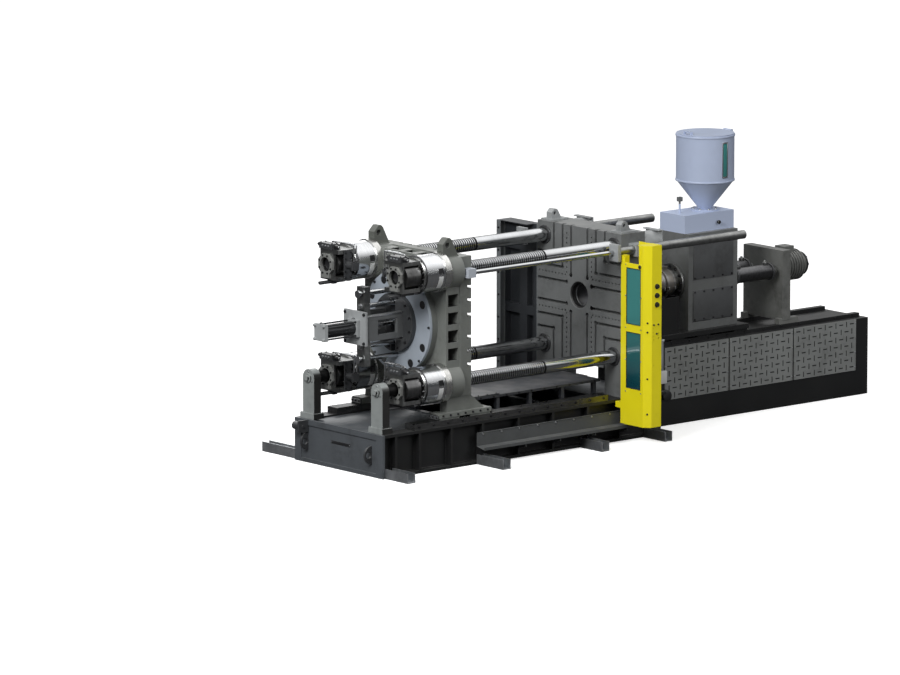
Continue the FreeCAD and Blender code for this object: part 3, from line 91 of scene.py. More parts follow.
def remap(tree, value, low, high, to_low=0.0, to_high=1.0):
    return add(tree, "ShaderNodeMapRange", {"Value": value, "From Min": low, "From Max": high, "To Min": to_low,
                                            "To Max": to_high}).outputs["Result"]


def arithmetic(tree, operation, first, second):
    return add(tree, "ShaderNodeMath", {0: first, 1: second}, operation=operation).outputs["Value"]


def times(tree, first, second):
    return arithmetic(tree, "MULTIPLY", first, second)


def vector_math(tree, operation, first, second=(0.0, 0.0, 0.0), result="Vector"):
    return add(tree, "ShaderNodeVectorMath", {0: first, 1: second}, operation=operation).outputs[result]


def mixed(tree, factor, first, second):
    """Two colours mixed, by the places of the colour sockets."""
    return add(tree, "ShaderNodeMix", {0: factor, 6: first, 7: second}, data_type="RGBA").outputs[2]


def apart(tree, vector):
    return add(tree, "ShaderNodeSeparateXYZ", {"Vector": vector}).outputs


def joined(tree, **parts):
    return add(tree, "ShaderNodeCombineXYZ", parts).outputs["Vector"]


def object_place(tree):
    return tree.nodes.new("ShaderNodeTexCoord").outputs["Object"]


def face_normal(tree):
    return tree.nodes.new("ShaderNodeNewGeometry").outputs["Normal"]


# ---- effects shared by the finishes
def effect(name, inputs, outputs, build):
    """A shader group; build takes its inputs and gives its outputs by name."""
    group = bpy.data.node_groups.new(name, "ShaderNodeTree")
    for side, sockets in (("INPUT", inputs), ("OUTPUT", outputs)):
        for label, kind in sockets.items():
            group.interface.new_socket(label, in_out=side, socket_type=kind)
    start, end = group.nodes.new("NodeGroupInput"), group.nodes.new("NodeGroupOutput")
    feed(group, end, build(group, start.outputs))
    return group


def paint_nodes(group, given):
    """Sprayed paint over a casting or plate: patches, fine grain, and dust on what faces up."""
    place = object_place(group)
    patch = noise(group, place, given["Patch Scale"], 5.0)
    upward = remap(group, apart(group, face_normal(group))["Z"], 0.55, 1.0)
    dusty = times(group, upward, remap(group, noise(group, place, 7.0, 6.0), 0.35, 0.75))
    dusty = times(group, dusty, given["Dust"])
    colour = mixed(group, remap(group, patch, 0.35, 0.7), given["Colour"], given["Patch Colour"])
    return {"Colour": mixed(group, dusty, colour, (0.34, 0.33, 0.31, 1)),
            "Roughness": remap(group, patch, 0.3, 0.7, given["Roughness Low"], given["Roughness High"]),
            "Height": noise(group, place, given["Grain Scale"])}


def edge_nodes(group, given):
    """Softened edges, and a mask of where handling has rubbed them bright."""
    soft = add(group, "ShaderNodeBevel", {"Radius": given["Radius"]}, samples=3).outputs["Normal"]
    along = vector_math(group, "DOT_PRODUCT", soft, face_normal(group), "Value")
    broken = remap(group, noise(group, object_place(group), 24.0, 4.0), 0.35, 0.6)
    worn = times(group, remap(group, along, 0.98, 0.80), broken)
    return {"Normal": soft, "Worn": times(group, worn, given["Amount"])}


def mark_nodes(group, given):
    """Fine marks left by turning, grinding or brushing, drawn out along one direction."""
    place = object_place(group)
    marks = noise(group, vector_math(group, "MULTIPLY", place, given["Stretch"]), 1.0, 4.0)
    film = noise(group, place, 4.5, 5.0)
    tone = remap(group, arithmetic(group, "ADD", times(group, marks, 0.55), times(group, film, 0.45)), 0.35, 0.65)
    return {"Colour": mixed(group, tone, given["Dull Colour"], given["Bright Colour"]),
            "Roughness": remap(group, film, 0.3, 0.7, given["Roughness High"], given["Roughness Low"]),
            "Height": marks}


def oil_nodes(group, given):
    """Thin dark smears of oil and grease that darken a colour in soft patches."""
    place = object_place(group)
    smear = times(group, remap(group, noise(group, place, 3.2, 6.0), 0.48, 0.7),
                  remap(group, noise(group, place, 19.0, 4.0), 0.3, 0.65))
    return {"Colour": mixed(group, times(group, smear, given["Amount"]), given["Colour"], (0.012, 0.011, 0.009, 1))}


def box_nodes(group, given):
    """A mask that is 1 inside a box given by its middle and half size."""
    offset = vector_math(group, "SUBTRACT", object_place(group), given["Centre"])
    ratio = apart(group, vector_math(group, "DIVIDE", vector_math(group, "ABSOLUTE", offset), given["Half Size"]))
    widest = arithmetic(group, "MAXIMUM", arithmetic(group, "MAXIMUM", ratio["X"], ratio["Y"]), ratio["Z"])
    return {"Mask": arithmetic(group, "LESS_THAN", widest, 1.0)}


def groove_shade_nodes(group, given):
    """A mask that is 1 where the surface lies under the outside of the nearest tie bar, where the grooves get painted
    shade.
    """
    centred = vector_math(group, "SUBTRACT", object_place(group), (0.0, 0.0, axis_z))
    offset = vector_math(group, "SUBTRACT", vector_math(group, "ABSOLUTE", centred), (0.0, bar_y, bar_z))
    distance = vector_math(group, "LENGTH", vector_math(group, "MULTIPLY", offset, (0.0, 1.0, 1.0)), result="Value")
    return {"Mask": remap(group, arithmetic(group, "SUBTRACT", given["Bar Radius"], distance), 0.0003, 0.0015)}


surface = {"Colour": COLOUR, "Roughness": NUMBER, "Height": NUMBER}
roughness_range = {"Roughness Low": NUMBER, "Roughness High": NUMBER}
paint_skin = effect("paint_skin", {
    "Colour": COLOUR, "Patch Colour": COLOUR, "Patch Scale": NUMBER, "Grain Scale": NUMBER, "Dust": NUMBER,
    **roughness_range}, surface, paint_nodes)
edge_wear = effect("edge_wear", {"Radius": NUMBER, "Amount": NUMBER}, {"Normal": VECTOR, "Worn": NUMBER}, edge_nodes)
tool_marks = effect("tool_marks", {
    "Stretch": VECTOR, "Bright Colour": COLOUR, "Dull Colour": COLOUR, **roughness_range}, surface, mark_nodes)
oil_film = effect("oil_film", {"Colour": COLOUR, "Amount": NUMBER}, {"Colour": COLOUR}, oil_nodes)
box_mask = effect("box_mask", {"Centre": VECTOR, "Half Size": VECTOR}, {"Mask": NUMBER}, box_nodes)
groove_shade_mask = effect("groove_shade_mask", {"Bar Radius": NUMBER}, {"Mask": NUMBER}, groove_shade_nodes)


# ---- finishes
def placed(tree, group, values):
    return add(tree, "ShaderNodeGroup", values, node_tree=group).outputs


def shade(colour, factor=1.0):
    return tuple(min(1.0, part * factor) for part in colour) + (1.0,)


def new_finish(name):
    material = bpy.data.materials.new(name)
    material.use_nodes = True
    return material, material.node_tree, material.node_tree.nodes["Principled BSDF"]


def layered(name, group, values, depth, edge, oil, wear=0.0, rubbed=None, **options):
    """A surface group under an oil film, with softened edges that may be rubbed to another colour."""
    material, tree, shader = new_finish(name)
    skin = placed(tree, group, values)
    colour = placed(tree, oil_film, {"Colour": skin["Colour"], "Amount": oil})["Colour"]
    edges = placed(tree, edge_wear, {"Radius": edge, "Amount": wear})
    if rubbed is not None:
        colour = mixed(tree, edges["Worn"], colour, rubbed)
    bump = add(tree, "ShaderNodeBump", {
        "Strength": 0.5, "Distance": depth, "Height": skin["Height"], "Normal": edges["Normal"]})
    feed(tree, shader, {"Base Color": colour, "Roughness": skin["Roughness"], "Normal": bump.outputs["Normal"]})
    feed(tree, shader, options)
    return material


def painted(name, colour, patch=0.8, patch_scale=2.2, grain=90.0, dust=0.25, rough=(0.42, 0.6), depth=0.0008,
            edge=0.003, wear=0.35, oil=0.35, coat=0.0):
    """Paint on a casting or on plate, with softened and slightly rubbed edges."""
    return layered(name, paint_skin, {
        "Colour": shade(colour), "Patch Colour": shade(colour, patch), "Patch Scale": patch_scale,
        "Grain Scale": grain, "Dust": dust, "Roughness Low": rough[0], "Roughness High": rough[1]},
        depth, edge, oil, wear, shade([part + 0.10 for part in colour], 1.5), **{"Coat Weight": coat})


def metal(name, colour, dull=0.7, stretch=(300.0, 6.0, 6.0), rough=(0.15, 0.3), depth=0.0002, oil=0.2,
          edge=0.0015):
    """Bare metal with the marks of the tool that finished it."""
    return layered(name, tool_marks, {
        "Stretch": stretch, "Bright Colour": shade(colour), "Dull Colour": shade(colour, dull),
        "Roughness Low": rough[0], "Roughness High": rough[1]}, depth, edge, oil, Metallic=1.0)


def window_sheet():
    """Tinted polycarbonate, deeper towards its foot, with a glossy face."""
    material, tree, shader = new_finish("tinted_window")
    haze = noise(tree, object_place(tree), 3.0)
    level = arithmetic(tree, "ADD", apart(tree, object_place(tree))["Z"], times(tree, haze, 0.3))
    feed(tree, shader, {
        "Base Color": mixed(tree, remap(tree, level, 0.75, 1.55), (0.006, 0.055, 0.075, 1), (0.055, 0.27, 0.26, 1)),
        "Roughness": remap(tree, haze, 0.3, 0.7, 0.08, 0.16), "Transmission Weight": 0.12, "IOR": 1.58,
        "Coat Weight": 0.6})
    return material


def boxes(*spans):
    """A mask made of boxes, each given by its X, Y and Z spans."""
    def build(tree):
        whole = None
        for span in spans:
            part = placed(tree, box_mask, {"Centre": tuple((low + high) / 2 for low, high in span),
                                           "Half Size": tuple((high - low) / 2 for low, high in span)})["Mask"]
            whole = part if whole is None else arithmetic(tree, "MAXIMUM", whole, part)
        return whole
    return build


def shaded_side_faces(tree):
    """A mask of the faces that look to either side, along Y, which get painted shade."""
    return remap(tree, arithmetic(tree, "ABSOLUTE", apart(tree, face_normal(tree))["Y"], 0.0), 0.75, 0.92)


def shaded_grooves(tree):
    return placed(tree, groove_shade_mask, {"Bar Radius": 0.070})["Mask"]


def retouched(base, name, build_mask, colour, metallic=None, roughness=None):
    """A copy of a finish with another colour where the mask is 1, and another surface if given."""
    material = base.copy()
    material.name = name
    tree = material.node_tree
    shader = tree.nodes["Principled BSDF"]
    mask = build_mask(tree)
    under, rough = (shader.inputs[label].links[0].from_socket for label in ("Base Color", "Roughness"))
    feed(tree, shader, {"Base Color": mixed(tree, mask, under, shade(colour))})
    if metallic is not None:
        plain = shader.inputs["Metallic"].default_value
        feed(tree, shader, {"Metallic": remap(tree, mask, 0.0, 1.0, plain, metallic)})
    if roughness is not None:
        blend = add(tree, "ShaderNodeMix", {"Factor": mask, "A": rough, "B": roughness})
        feed(tree, shader, {"Roughness": blend.outputs["Result"]})
    return material


bed_paint = painted("bed_charcoal_paint", (0.009, 0.0095, 0.010), dust=0.06, rough=(0.38, 0.55), wear=0.25)
end_paint = painted("bed_end_slate_paint", (0.085, 0.094, 0.104), dust=0.15, rough=(0.4, 0.55))
tray_paint = painted("tray_grey_paint", (0.085, 0.090, 0.092), dust=0.2, rough=(0.36, 0.5), grain=160.0)
platen_paint = painted("platen_grey_paint", (0.165, 0.172, 0.172), patch=0.82, grain=70.0, dust=0.3, depth=0.0012)
moving_paint = painted("platen_olive_paint", (0.175, 0.185, 0.172), patch=0.8, grain=70.0, dust=0.3, depth=0.0012)
disc_paint = painted("disc_blue_grey_paint", (0.34, 0.38, 0.43), patch=0.9, dust=0.1, rough=(0.3, 0.42), oil=0.15)
flange_paint = painted("flange_graphite_paint", (0.052, 0.055, 0.058), patch=0.8, dust=0.1, rough=(0.3, 0.42))
boss_paint = painted("lug_olive_paint", (0.105, 0.112, 0.100), patch=0.75, dust=0.3)
upright_paint = painted("upright_grey_paint", (0.27, 0.29, 0.285), patch=0.85, dust=0.2, rough=(0.35, 0.5))
column_paint = painted("column_slate_paint", (0.16, 0.172, 0.178), patch=0.85, dust=0.2)
platform_paint = painted("platform_slate_paint", (0.060, 0.064, 0.074), patch=0.85, dust=0.25, rough=(0.4, 0.6))
cover_paint = painted("cover_grey_paint", (0.090, 0.094, 0.098), patch=0.85, dust=0.25, rough=(0.4, 0.55))
pale_paint = painted("hopper_pale_blue_paint", (0.48, 0.55, 0.72), patch=0.92, dust=0.15, rough=(0.28, 0.4),
                     oil=0.08, wear=0.1)
guard_paint = painted("guard_yellow_enamel", (0.93, 0.81, 0.012), patch=0.95, patch_scale=1.4, grain=220.0,
                      dust=0.08, rough=(0.3, 0.4), depth=0.0003, oil=0.06, wear=0.1, coat=0.15)
machine_grey = painted("machined_block_grey", (0.21, 0.215, 0.205), patch=0.7, dust=0.15, rough=(0.3, 0.45), oil=0.5)
dark_block = painted("blackened_block", (0.045, 0.047, 0.050), patch=0.7, dust=0.15, rough=(0.3, 0.45), oil=0.4)
black_plastic = painted("black_plastic", (0.010, 0.010, 0.011), patch=1.6, dust=0.1, rough=(0.35, 0.5), grain=300.0,
                        depth=0.0002, wear=0.05, oil=0.0)
seal_rubber = painted("seal_rubber", (0.012, 0.012, 0.012), patch=1.8, dust=0.3, rough=(0.6, 0.8), grain=200.0,
                      depth=0.0004, wear=0.0, oil=0.1)
blank_plate = painted("blank_white_plate", (0.72, 0.73, 0.72), patch=0.94, dust=0.05, rough=(0.3, 0.4), oil=0.1,
                      wear=0.0)
vent_paint = painted("vent_grey_paint", (0.27, 0.28, 0.275), patch=0.88, dust=0.15, rough=(0.38, 0.5), edge=0.001)
chrome = metal("hard_chrome", (0.52, 0.53, 0.54), dull=0.8, stretch=(420.0, 3.0, 3.0), rough=(0.10, 0.18),
               depth=0.00006, oil=0.15)
drum_steel = metal("polished_drum_steel", (0.62, 0.63, 0.64), dull=0.82, stretch=(260.0, 4.0, 4.0),
                   rough=(0.12, 0.22), depth=0.0001, oil=0.1)
ring_steel = metal("turned_ring_steel", (0.62, 0.62, 0.60), dull=0.75, stretch=(40.0, 30.0, 30.0),
                   rough=(0.2, 0.32))
ground_steel = metal("ground_slideway_steel", (0.20, 0.20, 0.20), dull=0.6, stretch=(8.0, 260.0, 60.0),
                     rough=(0.22, 0.4), oil=0.5)
dark_steel = metal("blackened_steel", (0.12, 0.12, 0.125), dull=0.55, stretch=(60.0, 60.0, 60.0),
                   rough=(0.28, 0.45), oil=0.4)
grey_steel = metal("housing_grey_steel", (0.30, 0.305, 0.30), dull=0.6, stretch=(30.0, 200.0, 30.0),
                   rough=(0.3, 0.48), oil=0.45)
bronze = metal("bush_bronze", (0.42, 0.33, 0.20), dull=0.7, stretch=(300.0, 6.0, 6.0), rough=(0.25, 0.4))
nut_steel = metal("half_nut_steel", (0.16, 0.16, 0.16), dull=0.6, stretch=(200.0, 20.0, 20.0), rough=(0.28, 0.42),
                  oil=0.5)
galvanised = metal("galvanised_channel", (0.56, 0.58, 0.60), dull=0.78, stretch=(22.0, 22.0, 22.0),
                   rough=(0.35, 0.55), oil=0.1)
heater_steel = metal("heater_band_steel", (0.50, 0.47, 0.43), dull=0.7, stretch=(240.0, 8.0, 8.0),
                     rough=(0.25, 0.42))
bolt_steel = metal("black_bolt_steel", (0.09, 0.09, 0.095), dull=0.6, stretch=(90.0, 90.0, 90.0), rough=(0.3, 0.45),
                   edge=0.0006)
zinc = metal("zinc_plated_steel", (0.55, 0.56, 0.57), dull=0.75, stretch=(90.0, 90.0, 90.0), rough=(0.25, 0.4),
             edge=0.0006)
window = window_sheet()
light_paint = painted("light_grey_paint", (0.34, 0.355, 0.36), patch=0.85, dust=0.2, rough=(0.35, 0.5))

# painted shade: the uprights' faces that look along Y are near black
upright_finish = retouched(upright_paint, "upright_paint_shaded_sides", shaded_side_faces, (0.014, 0.014, 0.013))
everywhere = (-9.0, 9.0)
# painted shade: near black and rougher down in the tie bars' grooves
bar_chrome = retouched(chrome, "bar_chrome_shaded_grooves", shaded_grooves, (0.02, 0.02, 0.02), roughness=0.5)
# painted shade: near black inside the moving platen's pockets
pocket_z = [axis_z + level for level in (-0.345, 0.345)]
moving_finish = retouched(moving_paint, "platen_paint_shaded_pockets", boxes(
    ((-2.274, -2.147), (-0.621, 0.621), pocket_z),
    ((-2.274, -2.147), (-0.30, 0.30), (axis_z - 0.681, axis_z + 0.681))), (0.008, 0.008, 0.008))
# painted shade: dark inside the rear column's pockets
column_finish = retouched(column_paint, "column_paint_shaded_pockets", boxes(
    ((-0.100, 0.3), (0.655, 1.145), everywhere)), (0.025, 0.028, 0.032))
# painted shade: near black inside the stationary platen's nozzle bore
fixed_finish = retouched(platen_paint, "platen_paint_shaded_bore", boxes(
    ((0.004, 0.40), (-0.19, 0.19), (axis_z - 0.19, axis_z + 0.19))), (0.012, 0.012, 0.012))
throat_finish = retouched(platen_paint, "housing_paint_pale_throat", boxes(
    (everywhere, everywhere, (1.9185, 2.2))), (0.48, 0.55, 0.72))
clevis_finish = retouched(chrome, "rod_chrome_painted_clevis", boxes(
    ((-2.2, -2.008), everywhere, everywhere)), (0.42, 0.45, 0.50), metallic=0.0, roughness=0.4)
frame_finish = retouched(light_paint, "ejector_frame_paint", boxes(
    ((-2.928, -2.455), everywhere, everywhere)), (0.10, 0.105, 0.107))
ejector_finish = retouched(light_paint, "ejector_paint_dark_tube", boxes(
    ((-3.3655, -2.995), everywhere, everywhere)), (0.045, 0.047, 0.05), metallic=0.7, roughness=0.25)

# the finish of every CAD node; the half-nuts are the rest
dressing = (
    (bed_paint, "bed_front_beam bed_rear_beam injection_bed purge_guard_frame carriage_base"),
    (end_paint, "bed_cross_frames"), (ground_steel, "slideways"), (galvanised, "anchor_channels"),
    (dark_block, "bed_end_fittings nut_opening_cylinders nut_valves_and_sensors"),
    (bar_chrome, "tie_bars"), (light_paint, "tie_bar_nuts stationary_platen_lifting_lugs traverse_mounts"),
    (upright_finish, "tie_bar_uprights"), (fixed_finish, "stationary_platen"), (moving_finish, "moving_platen"),
    (disc_paint, "moving_platen_rear_disc"), (boss_paint, "moving_platen_lifting_lugs"),
    (moving_paint, "platen_shoes"), (drum_steel, "clamp_drums"), (ring_steel, "clamp_drum_rings"),
    (grey_steel, "nut_housings_with_pistons ejector_crosshead traverse_barrels barrel"),
    (machine_grey, "nut_end_rings screw_drive"), (ejector_finish, "ejector_cylinder"),
    (frame_finish, "ejector_frame"), (chrome, "ejector_guide_rods ejector_rods screw"),
    (clevis_finish, "traverse_rods"), (platform_paint, "drop_platform"), (cover_paint, "moving_cover"),
    (tray_paint, "side_tray"), (guard_paint, "guard_post_front guard_window_frame"), (window, "guard_windows"),
    (black_plastic, "button_collars push_button_lower push_button_middle push_button_upper"),
    (column_finish, "guard_column_rear"), (vent_paint, "injection_vent_panels"),
    (throat_finish, "injection_housing"), (heater_steel, "heater_bands"), (pale_paint, "hopper hopper_lid"),
    (dark_steel, "injection_cylinders"),
)
finish_of = {node: finish for finish, nodes in dressing for node in nodes.split()}
for node, thing in cad.items():
    thing.data.materials.clear()
    thing.data.materials.append(finish_of.get(node, nut_steel))


# ---- shapes in mesh code
class Shape:
    """Closed shapes gathered into one piece that rides on one body."""

    def __init__(self, name):
        self.name = name
        self.mesh = bmesh.new()

    def skin(self, rings, capped=True):
        """Join rings of points one after another, and close both ends if they are open."""
        for first, second in zip(rings, rings[1:]):
            for place in range(max(len(first), len(second))):
                after = place + 1
                face = [first[place % len(first)], first[after % len(first)],
                        second[after % len(second)], second[place % len(second)]]
                self.mesh.faces.new(list(dict.fromkeys(face)))
        if capped:
            self.mesh.faces.new(rings[0])
            self.mesh.faces.new(rings[-1])
        return self

    def block(self, x, y, z, chamfer=0.0):
        centre = Vector([(span[0] + span[1]) / 2 for span in (x, y, z)])
        size = [abs(span[1] - span[0]) for span in (x, y, z)]
        made = bmesh.ops.create_cube(self.mesh, size=1.0,
                                     matrix=Matrix.Translation(centre) @ Matrix.Diagonal(size + [1.0]))
        if chamfer > 0.0:
            edges = list({edge for vertex in made["verts"] for edge in vertex.link_edges})
            bmesh.ops.bevel(self.mesh, geom=edges, offset=chamfer, offset_type="OFFSET", segments=2, profile=0.5,
                            affect="EDGES", clamp_overlap=True)
        return self

    def plate(self, x, outline):
        """A flat plate between two X values, with a (Y, Z) outline."""
        return self.skin([[self.mesh.verts.new((along, y, z)) for y, z in outline] for along in x])

    def turned(self, outline, base, axis, sides=32, hollow=False):
        """Turn (along, radius) points about the axis from base; a hollow outline closes on itself."""
        turn = Vector(axis).to_track_quat("Z", "Y").to_matrix()
        rings = []
        for along, radius in outline:
            steps = sides if radius > 1e-6 else 1
            angles = [math.tau * step / steps for step in range(steps)]
            rings.append([self.mesh.verts.new(Vector(base) + turn @ Vector(
                (radius * math.cos(angle), radius * math.sin(angle), along))) for angle in angles])
        return self.skin(rings + rings[:1] if hollow else rings, capped=False)

    def rim(self, inner, outer, width, base, axis, sides, chamfer=0.0):
        """A turned ring, or a disc where inner is 0, with its far outer edge chamfered."""
        edge = [(width - chamfer, outer), (width, outer - chamfer)] if chamfer else [(width, outer)]
        return self.turned([(0.0, inner), (0.0, outer)] + edge + [(width, inner)], base, axis, sides, inner > 0.0)

    def curved_plate(self, x, centre, radii, angles, steps=10):
        """A plate that hugs a round drum along X between two angles, 0 pointing to +Y."""
        rows = []
        for step in range(steps + 1):
            angle = angles[0] + (angles[1] - angles[0]) * step / steps
            across = Vector((0.0, math.cos(angle), math.sin(angle)))
            rows.append([self.mesh.verts.new(Vector((along, centre[0], centre[1])) + across * radius)
                         for along, radius in ((x[0], radii[0]), (x[1], radii[0]), (x[1], radii[1]), (x[0], radii[1]))])
        return self.skin(rows)

    def pipe(self, points, radius, bend=0.03, sides=10):
        """A bent steel pipe through corner points, with rounded bends and closed ends."""
        points = [Vector(point) for point in points]
        line = [points[0]]
        for before, corner, after in zip(points, points[1:], points[2:]):
            start = corner + (before - corner).normalized() * bend
            end = corner + (after - corner).normalized() * bend
            for part in (0.0, 0.2, 0.4, 0.6, 0.8, 1.0):
                line.append(start * (1 - part) ** 2 + corner * (2 * part * (1 - part)) + end * part ** 2)
        line.append(points[-1])
        side = (line[1] - line[0]).orthogonal().normalized()
        rings = []
        for place, point in enumerate(line):
            ahead = (line[min(place + 1, len(line) - 1)] - line[max(place - 1, 0)]).normalized()
            side = (side - ahead * side.dot(ahead)).normalized()
            other = ahead.cross(side)
            angles = [math.tau * step / sides for step in range(sides)]
            rings.append([self.mesh.verts.new(point + side * (radius * math.cos(angle))
                                              + other * (radius * math.sin(angle))) for angle in angles])
        return self.skin(rings)

    def place(self, body, finish, slot):
        bmesh.ops.recalc_face_normals(self.mesh, faces=self.mesh.faces)
        data = bpy.data.meshes.new(self.name)
        self.mesh.to_mesh(data)
        self.mesh.free()
        data.materials.append(finish)
        settle(self.name, data, body, slot, 35.0)


def settle(name, data, body, slot, crease):
    """Turn a finished mesh into a piece that rides on a body; crease is the sharpest smooth angle in degrees."""
    data.polygons.foreach_set("use_smooth", [True] * len(data.polygons))
    data.set_sharp_from_angle(angle=math.radians(crease))
    piece = bpy.data.objects.new(name, data)
    bpy.context.scene.collection.objects.link(piece)
    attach(piece, body)
    return piece


# ---- shapes that repeat, as node trees
def geometry_tree(name, sizes, build):
    """A geometry node tree with named sizes and a Finish input; build gives the shape."""
    tree = bpy.data.node_groups.new(name, "GeometryNodeTree")
    tree.interface.new_socket("Geometry", in_out="INPUT", socket_type="NodeSocketGeometry")
    for label, value in sizes.items():
        kind = "NodeSocketInt" if isinstance(value, int) else NUMBER
        tree.interface.new_socket(label, in_out="INPUT", socket_type=kind).default_value = value
    tree.interface.new_socket("Finish", in_out="INPUT", socket_type="NodeSocketMaterial")
    tree.interface.new_socket("Geometry", in_out="OUTPUT", socket_type="NodeSocketGeometry")
    start, end = tree.nodes.new("NodeGroupInput"), tree.nodes.new("NodeGroupOutput")
    real = add(tree, "GeometryNodeRealizeInstances", {"Geometry": build(tree, start.outputs)})
    dressed = add(tree, "GeometryNodeSetMaterial", {
        "Geometry": real.outputs["Geometry"], "Material": start.outputs["Finish"]})
    feed(tree, end, {"Geometry": dressed.outputs["Geometry"]})
    return tree


def moved(tree, shape, **offset):
    return add(tree, "GeometryNodeTransform", {
        "Geometry": shape, "Translation": joined(tree, **offset)}).outputs["Geometry"]


def together(tree, shapes):
    both = tree.nodes.new("GeometryNodeJoinGeometry")
    for shape in shapes:
        tree.links.new(shape, both.inputs["Geometry"])
    return both.outputs["Geometry"]


def read_attribute(tree, name, kind):
    node = add(tree, "GeometryNodeInputNamedAttribute", {"Name": name}, data_type=kind)
    return [socket for socket in node.outputs if socket.enabled and socket.name == "Attribute"][0]


def aimed(tree):
    aim = read_attribute(tree, "aim", "FLOAT_VECTOR")
    return add(tree, "FunctionNodeAlignRotationToVector", {"Vector": aim}, axis="Z").outputs["Rotation"]


def on_points(tree, points, shape, rotation):
    return add(tree, "GeometryNodeInstanceOnPoints", {
        "Points": points, "Instance": shape, "Rotation": rotation}).outputs["Instances"]


def screw_nodes(tree, size):
    """A screw head with a recess and a washer on every point, standing along the point's aim."""
    head = add(tree, "GeometryNodeMeshCylinder", {
        "Vertices": size["Corners"], "Radius": size["Head Radius"], "Depth": size["Head Height"]}).outputs
    rim = add(tree, "GeometryNodeExtrudeMesh", {
        "Mesh": head["Mesh"], "Selection": head["Top"], "Offset Scale": 0.0, "Individual": False}).outputs
    inner = add(tree, "GeometryNodeScaleElements", {
        "Geometry": rim["Mesh"], "Selection": rim["Top"], "Scale": size["Recess Ratio"]})
    sunk = add(tree, "GeometryNodeExtrudeMesh", {
        "Mesh": inner.outputs["Geometry"], "Selection": rim["Top"],
        "Offset Scale": times(tree, size["Recess Depth"], -1.0), "Individual": False})
    lift = arithmetic(tree, "ADD", times(tree, size["Head Height"], 0.5), size["Washer Height"])
    washer = add(tree, "GeometryNodeMeshCylinder", {
        "Vertices": 12, "Radius": size["Washer Radius"], "Depth": size["Washer Height"]})
    whole = together(tree, (moved(tree, sunk.outputs["Mesh"], Z=lift),
                            moved(tree, washer.outputs["Mesh"], Z=times(tree, size["Washer Height"], 0.5))))
    return on_points(tree, size["Geometry"], whole, aimed(tree))


def weld_nodes(tree, size):
    """A rippled weld bead along every edge of the seed."""
    line = add(tree, "GeometryNodeMeshToCurve", {"Mesh": size["Geometry"]}).outputs["Curve"]
    fine = add(tree, "GeometryNodeResampleCurve", {"Curve": line, "Length": size["Ripple Pitch"]}, mode="LENGTH")
    index = tree.nodes.new("GeometryNodeInputIndex").outputs["Index"]
    alternate = times(tree, arithmetic(tree, "MODULO", index, 2.0), size["Ripple"])
    width = times(tree, arithmetic(tree, "SUBTRACT", 1.0, alternate), size["Bead Radius"])
    waved = add(tree, "GeometryNodeSetCurveRadius", {"Curve": fine.outputs["Curve"], "Radius": width})
    section = add(tree, "GeometryNodeCurvePrimitiveCircle", {"Resolution": 6, "Radius": 1.0})
    return add(tree, "GeometryNodeCurveToMesh", {
        "Curve": waved.outputs["Curve"], "Profile Curve": section.outputs["Curve"], "Scale": width,
        "Fill Caps": True}).outputs["Mesh"]


def slot_nodes(tree, size):
    """A square of sheet with one long slot on every point, turned a quarter on every other one."""
    def half(operation, first, second):
        return times(tree, arithmetic(tree, operation, first, second), 0.5)

    cell, length, width, thick = (size[label] for label in ("Cell", "Slot Length", "Slot Width", "Thickness"))
    side_bar, end_bar = half("SUBTRACT", cell, width), half("SUBTRACT", cell, length)
    bars = []
    for sign in (-1.0, 1.0):
        for way, place, extent in (("Y", half("ADD", width, side_bar), {"X": cell, "Y": side_bar, "Z": thick}),
                                   ("X", half("ADD", length, end_bar), {"X": end_bar, "Y": width, "Z": thick})):
            box = add(tree, "GeometryNodeMeshCube", {"Size": joined(tree, **extent)})
            bars.append(moved(tree, box.outputs["Mesh"], **{way: times(tree, place, sign)}))
    quarter = times(tree, read_attribute(tree, "turn", "FLOAT"), math.pi / 2)
    spin = add(tree, "FunctionNodeAxisAngleToRotation", {"Angle": quarter}).outputs["Rotation"]
    turned = add(tree, "FunctionNodeRotateRotation", {"Rotation": aimed(tree), "Rotate By": spin},
                 rotation_space="LOCAL")
    return on_points(tree, size["Geometry"], together(tree, bars), turned.outputs["Rotation"])


def grown(name, tree, seed, sizes, finish, body, slot):
    """Run a tree on a seed mesh and keep the result as one plain piece of a body."""
    host = bpy.data.objects.new(name + "_seed", seed)
    bpy.context.scene.collection.objects.link(host)
    modifier = host.modifiers.new(tree.name, "NODES")
    modifier.node_group = tree
    values = dict(sizes, Finish=finish)
    for socket in tree.interface.items_tree:
        if socket.in_out == "INPUT" and socket.name in values:
            modifier[socket.identifier] = values[socket.name]
    graph = bpy.context.evaluated_depsgraph_get()
    data = bpy.data.meshes.new_from_object(host.evaluated_get(graph), preserve_all_data_layers=True, depsgraph=graph)
    data.name = name
    host.modifiers.remove(modifier)
    bpy.data.objects.remove(host)
    for layer in [item.name for item in data.attributes if item.name in ("aim", "turn")]:
        data.attributes.remove(data.attributes[layer])
    return settle(name, data, body, slot, 30.0)


def seed_points(spots):
    """Points with an aim each, and a quarter turn where a third value gives one."""
    data = bpy.data.meshes.new("seed")
    data.from_pydata([spot[0] for spot in spots], [], [])
    aims = data.attributes.new("aim", "FLOAT_VECTOR", "POINT")
    aims.data.foreach_set("vector", [part for spot in spots for part in spot[1]])
    turns = data.attributes.new("turn", "FLOAT", "POINT")
    turns.data.foreach_set("value", [float(spot[2]) if len(spot) > 2 else 0.0 for spot in spots])
    return data


def seed_lines(lines):
    data = bpy.data.meshes.new("seed")
    data.from_pydata([point for line in lines for point in line],
                     [(2 * place, 2 * place + 1) for place in range(len(lines))], [])
    return data


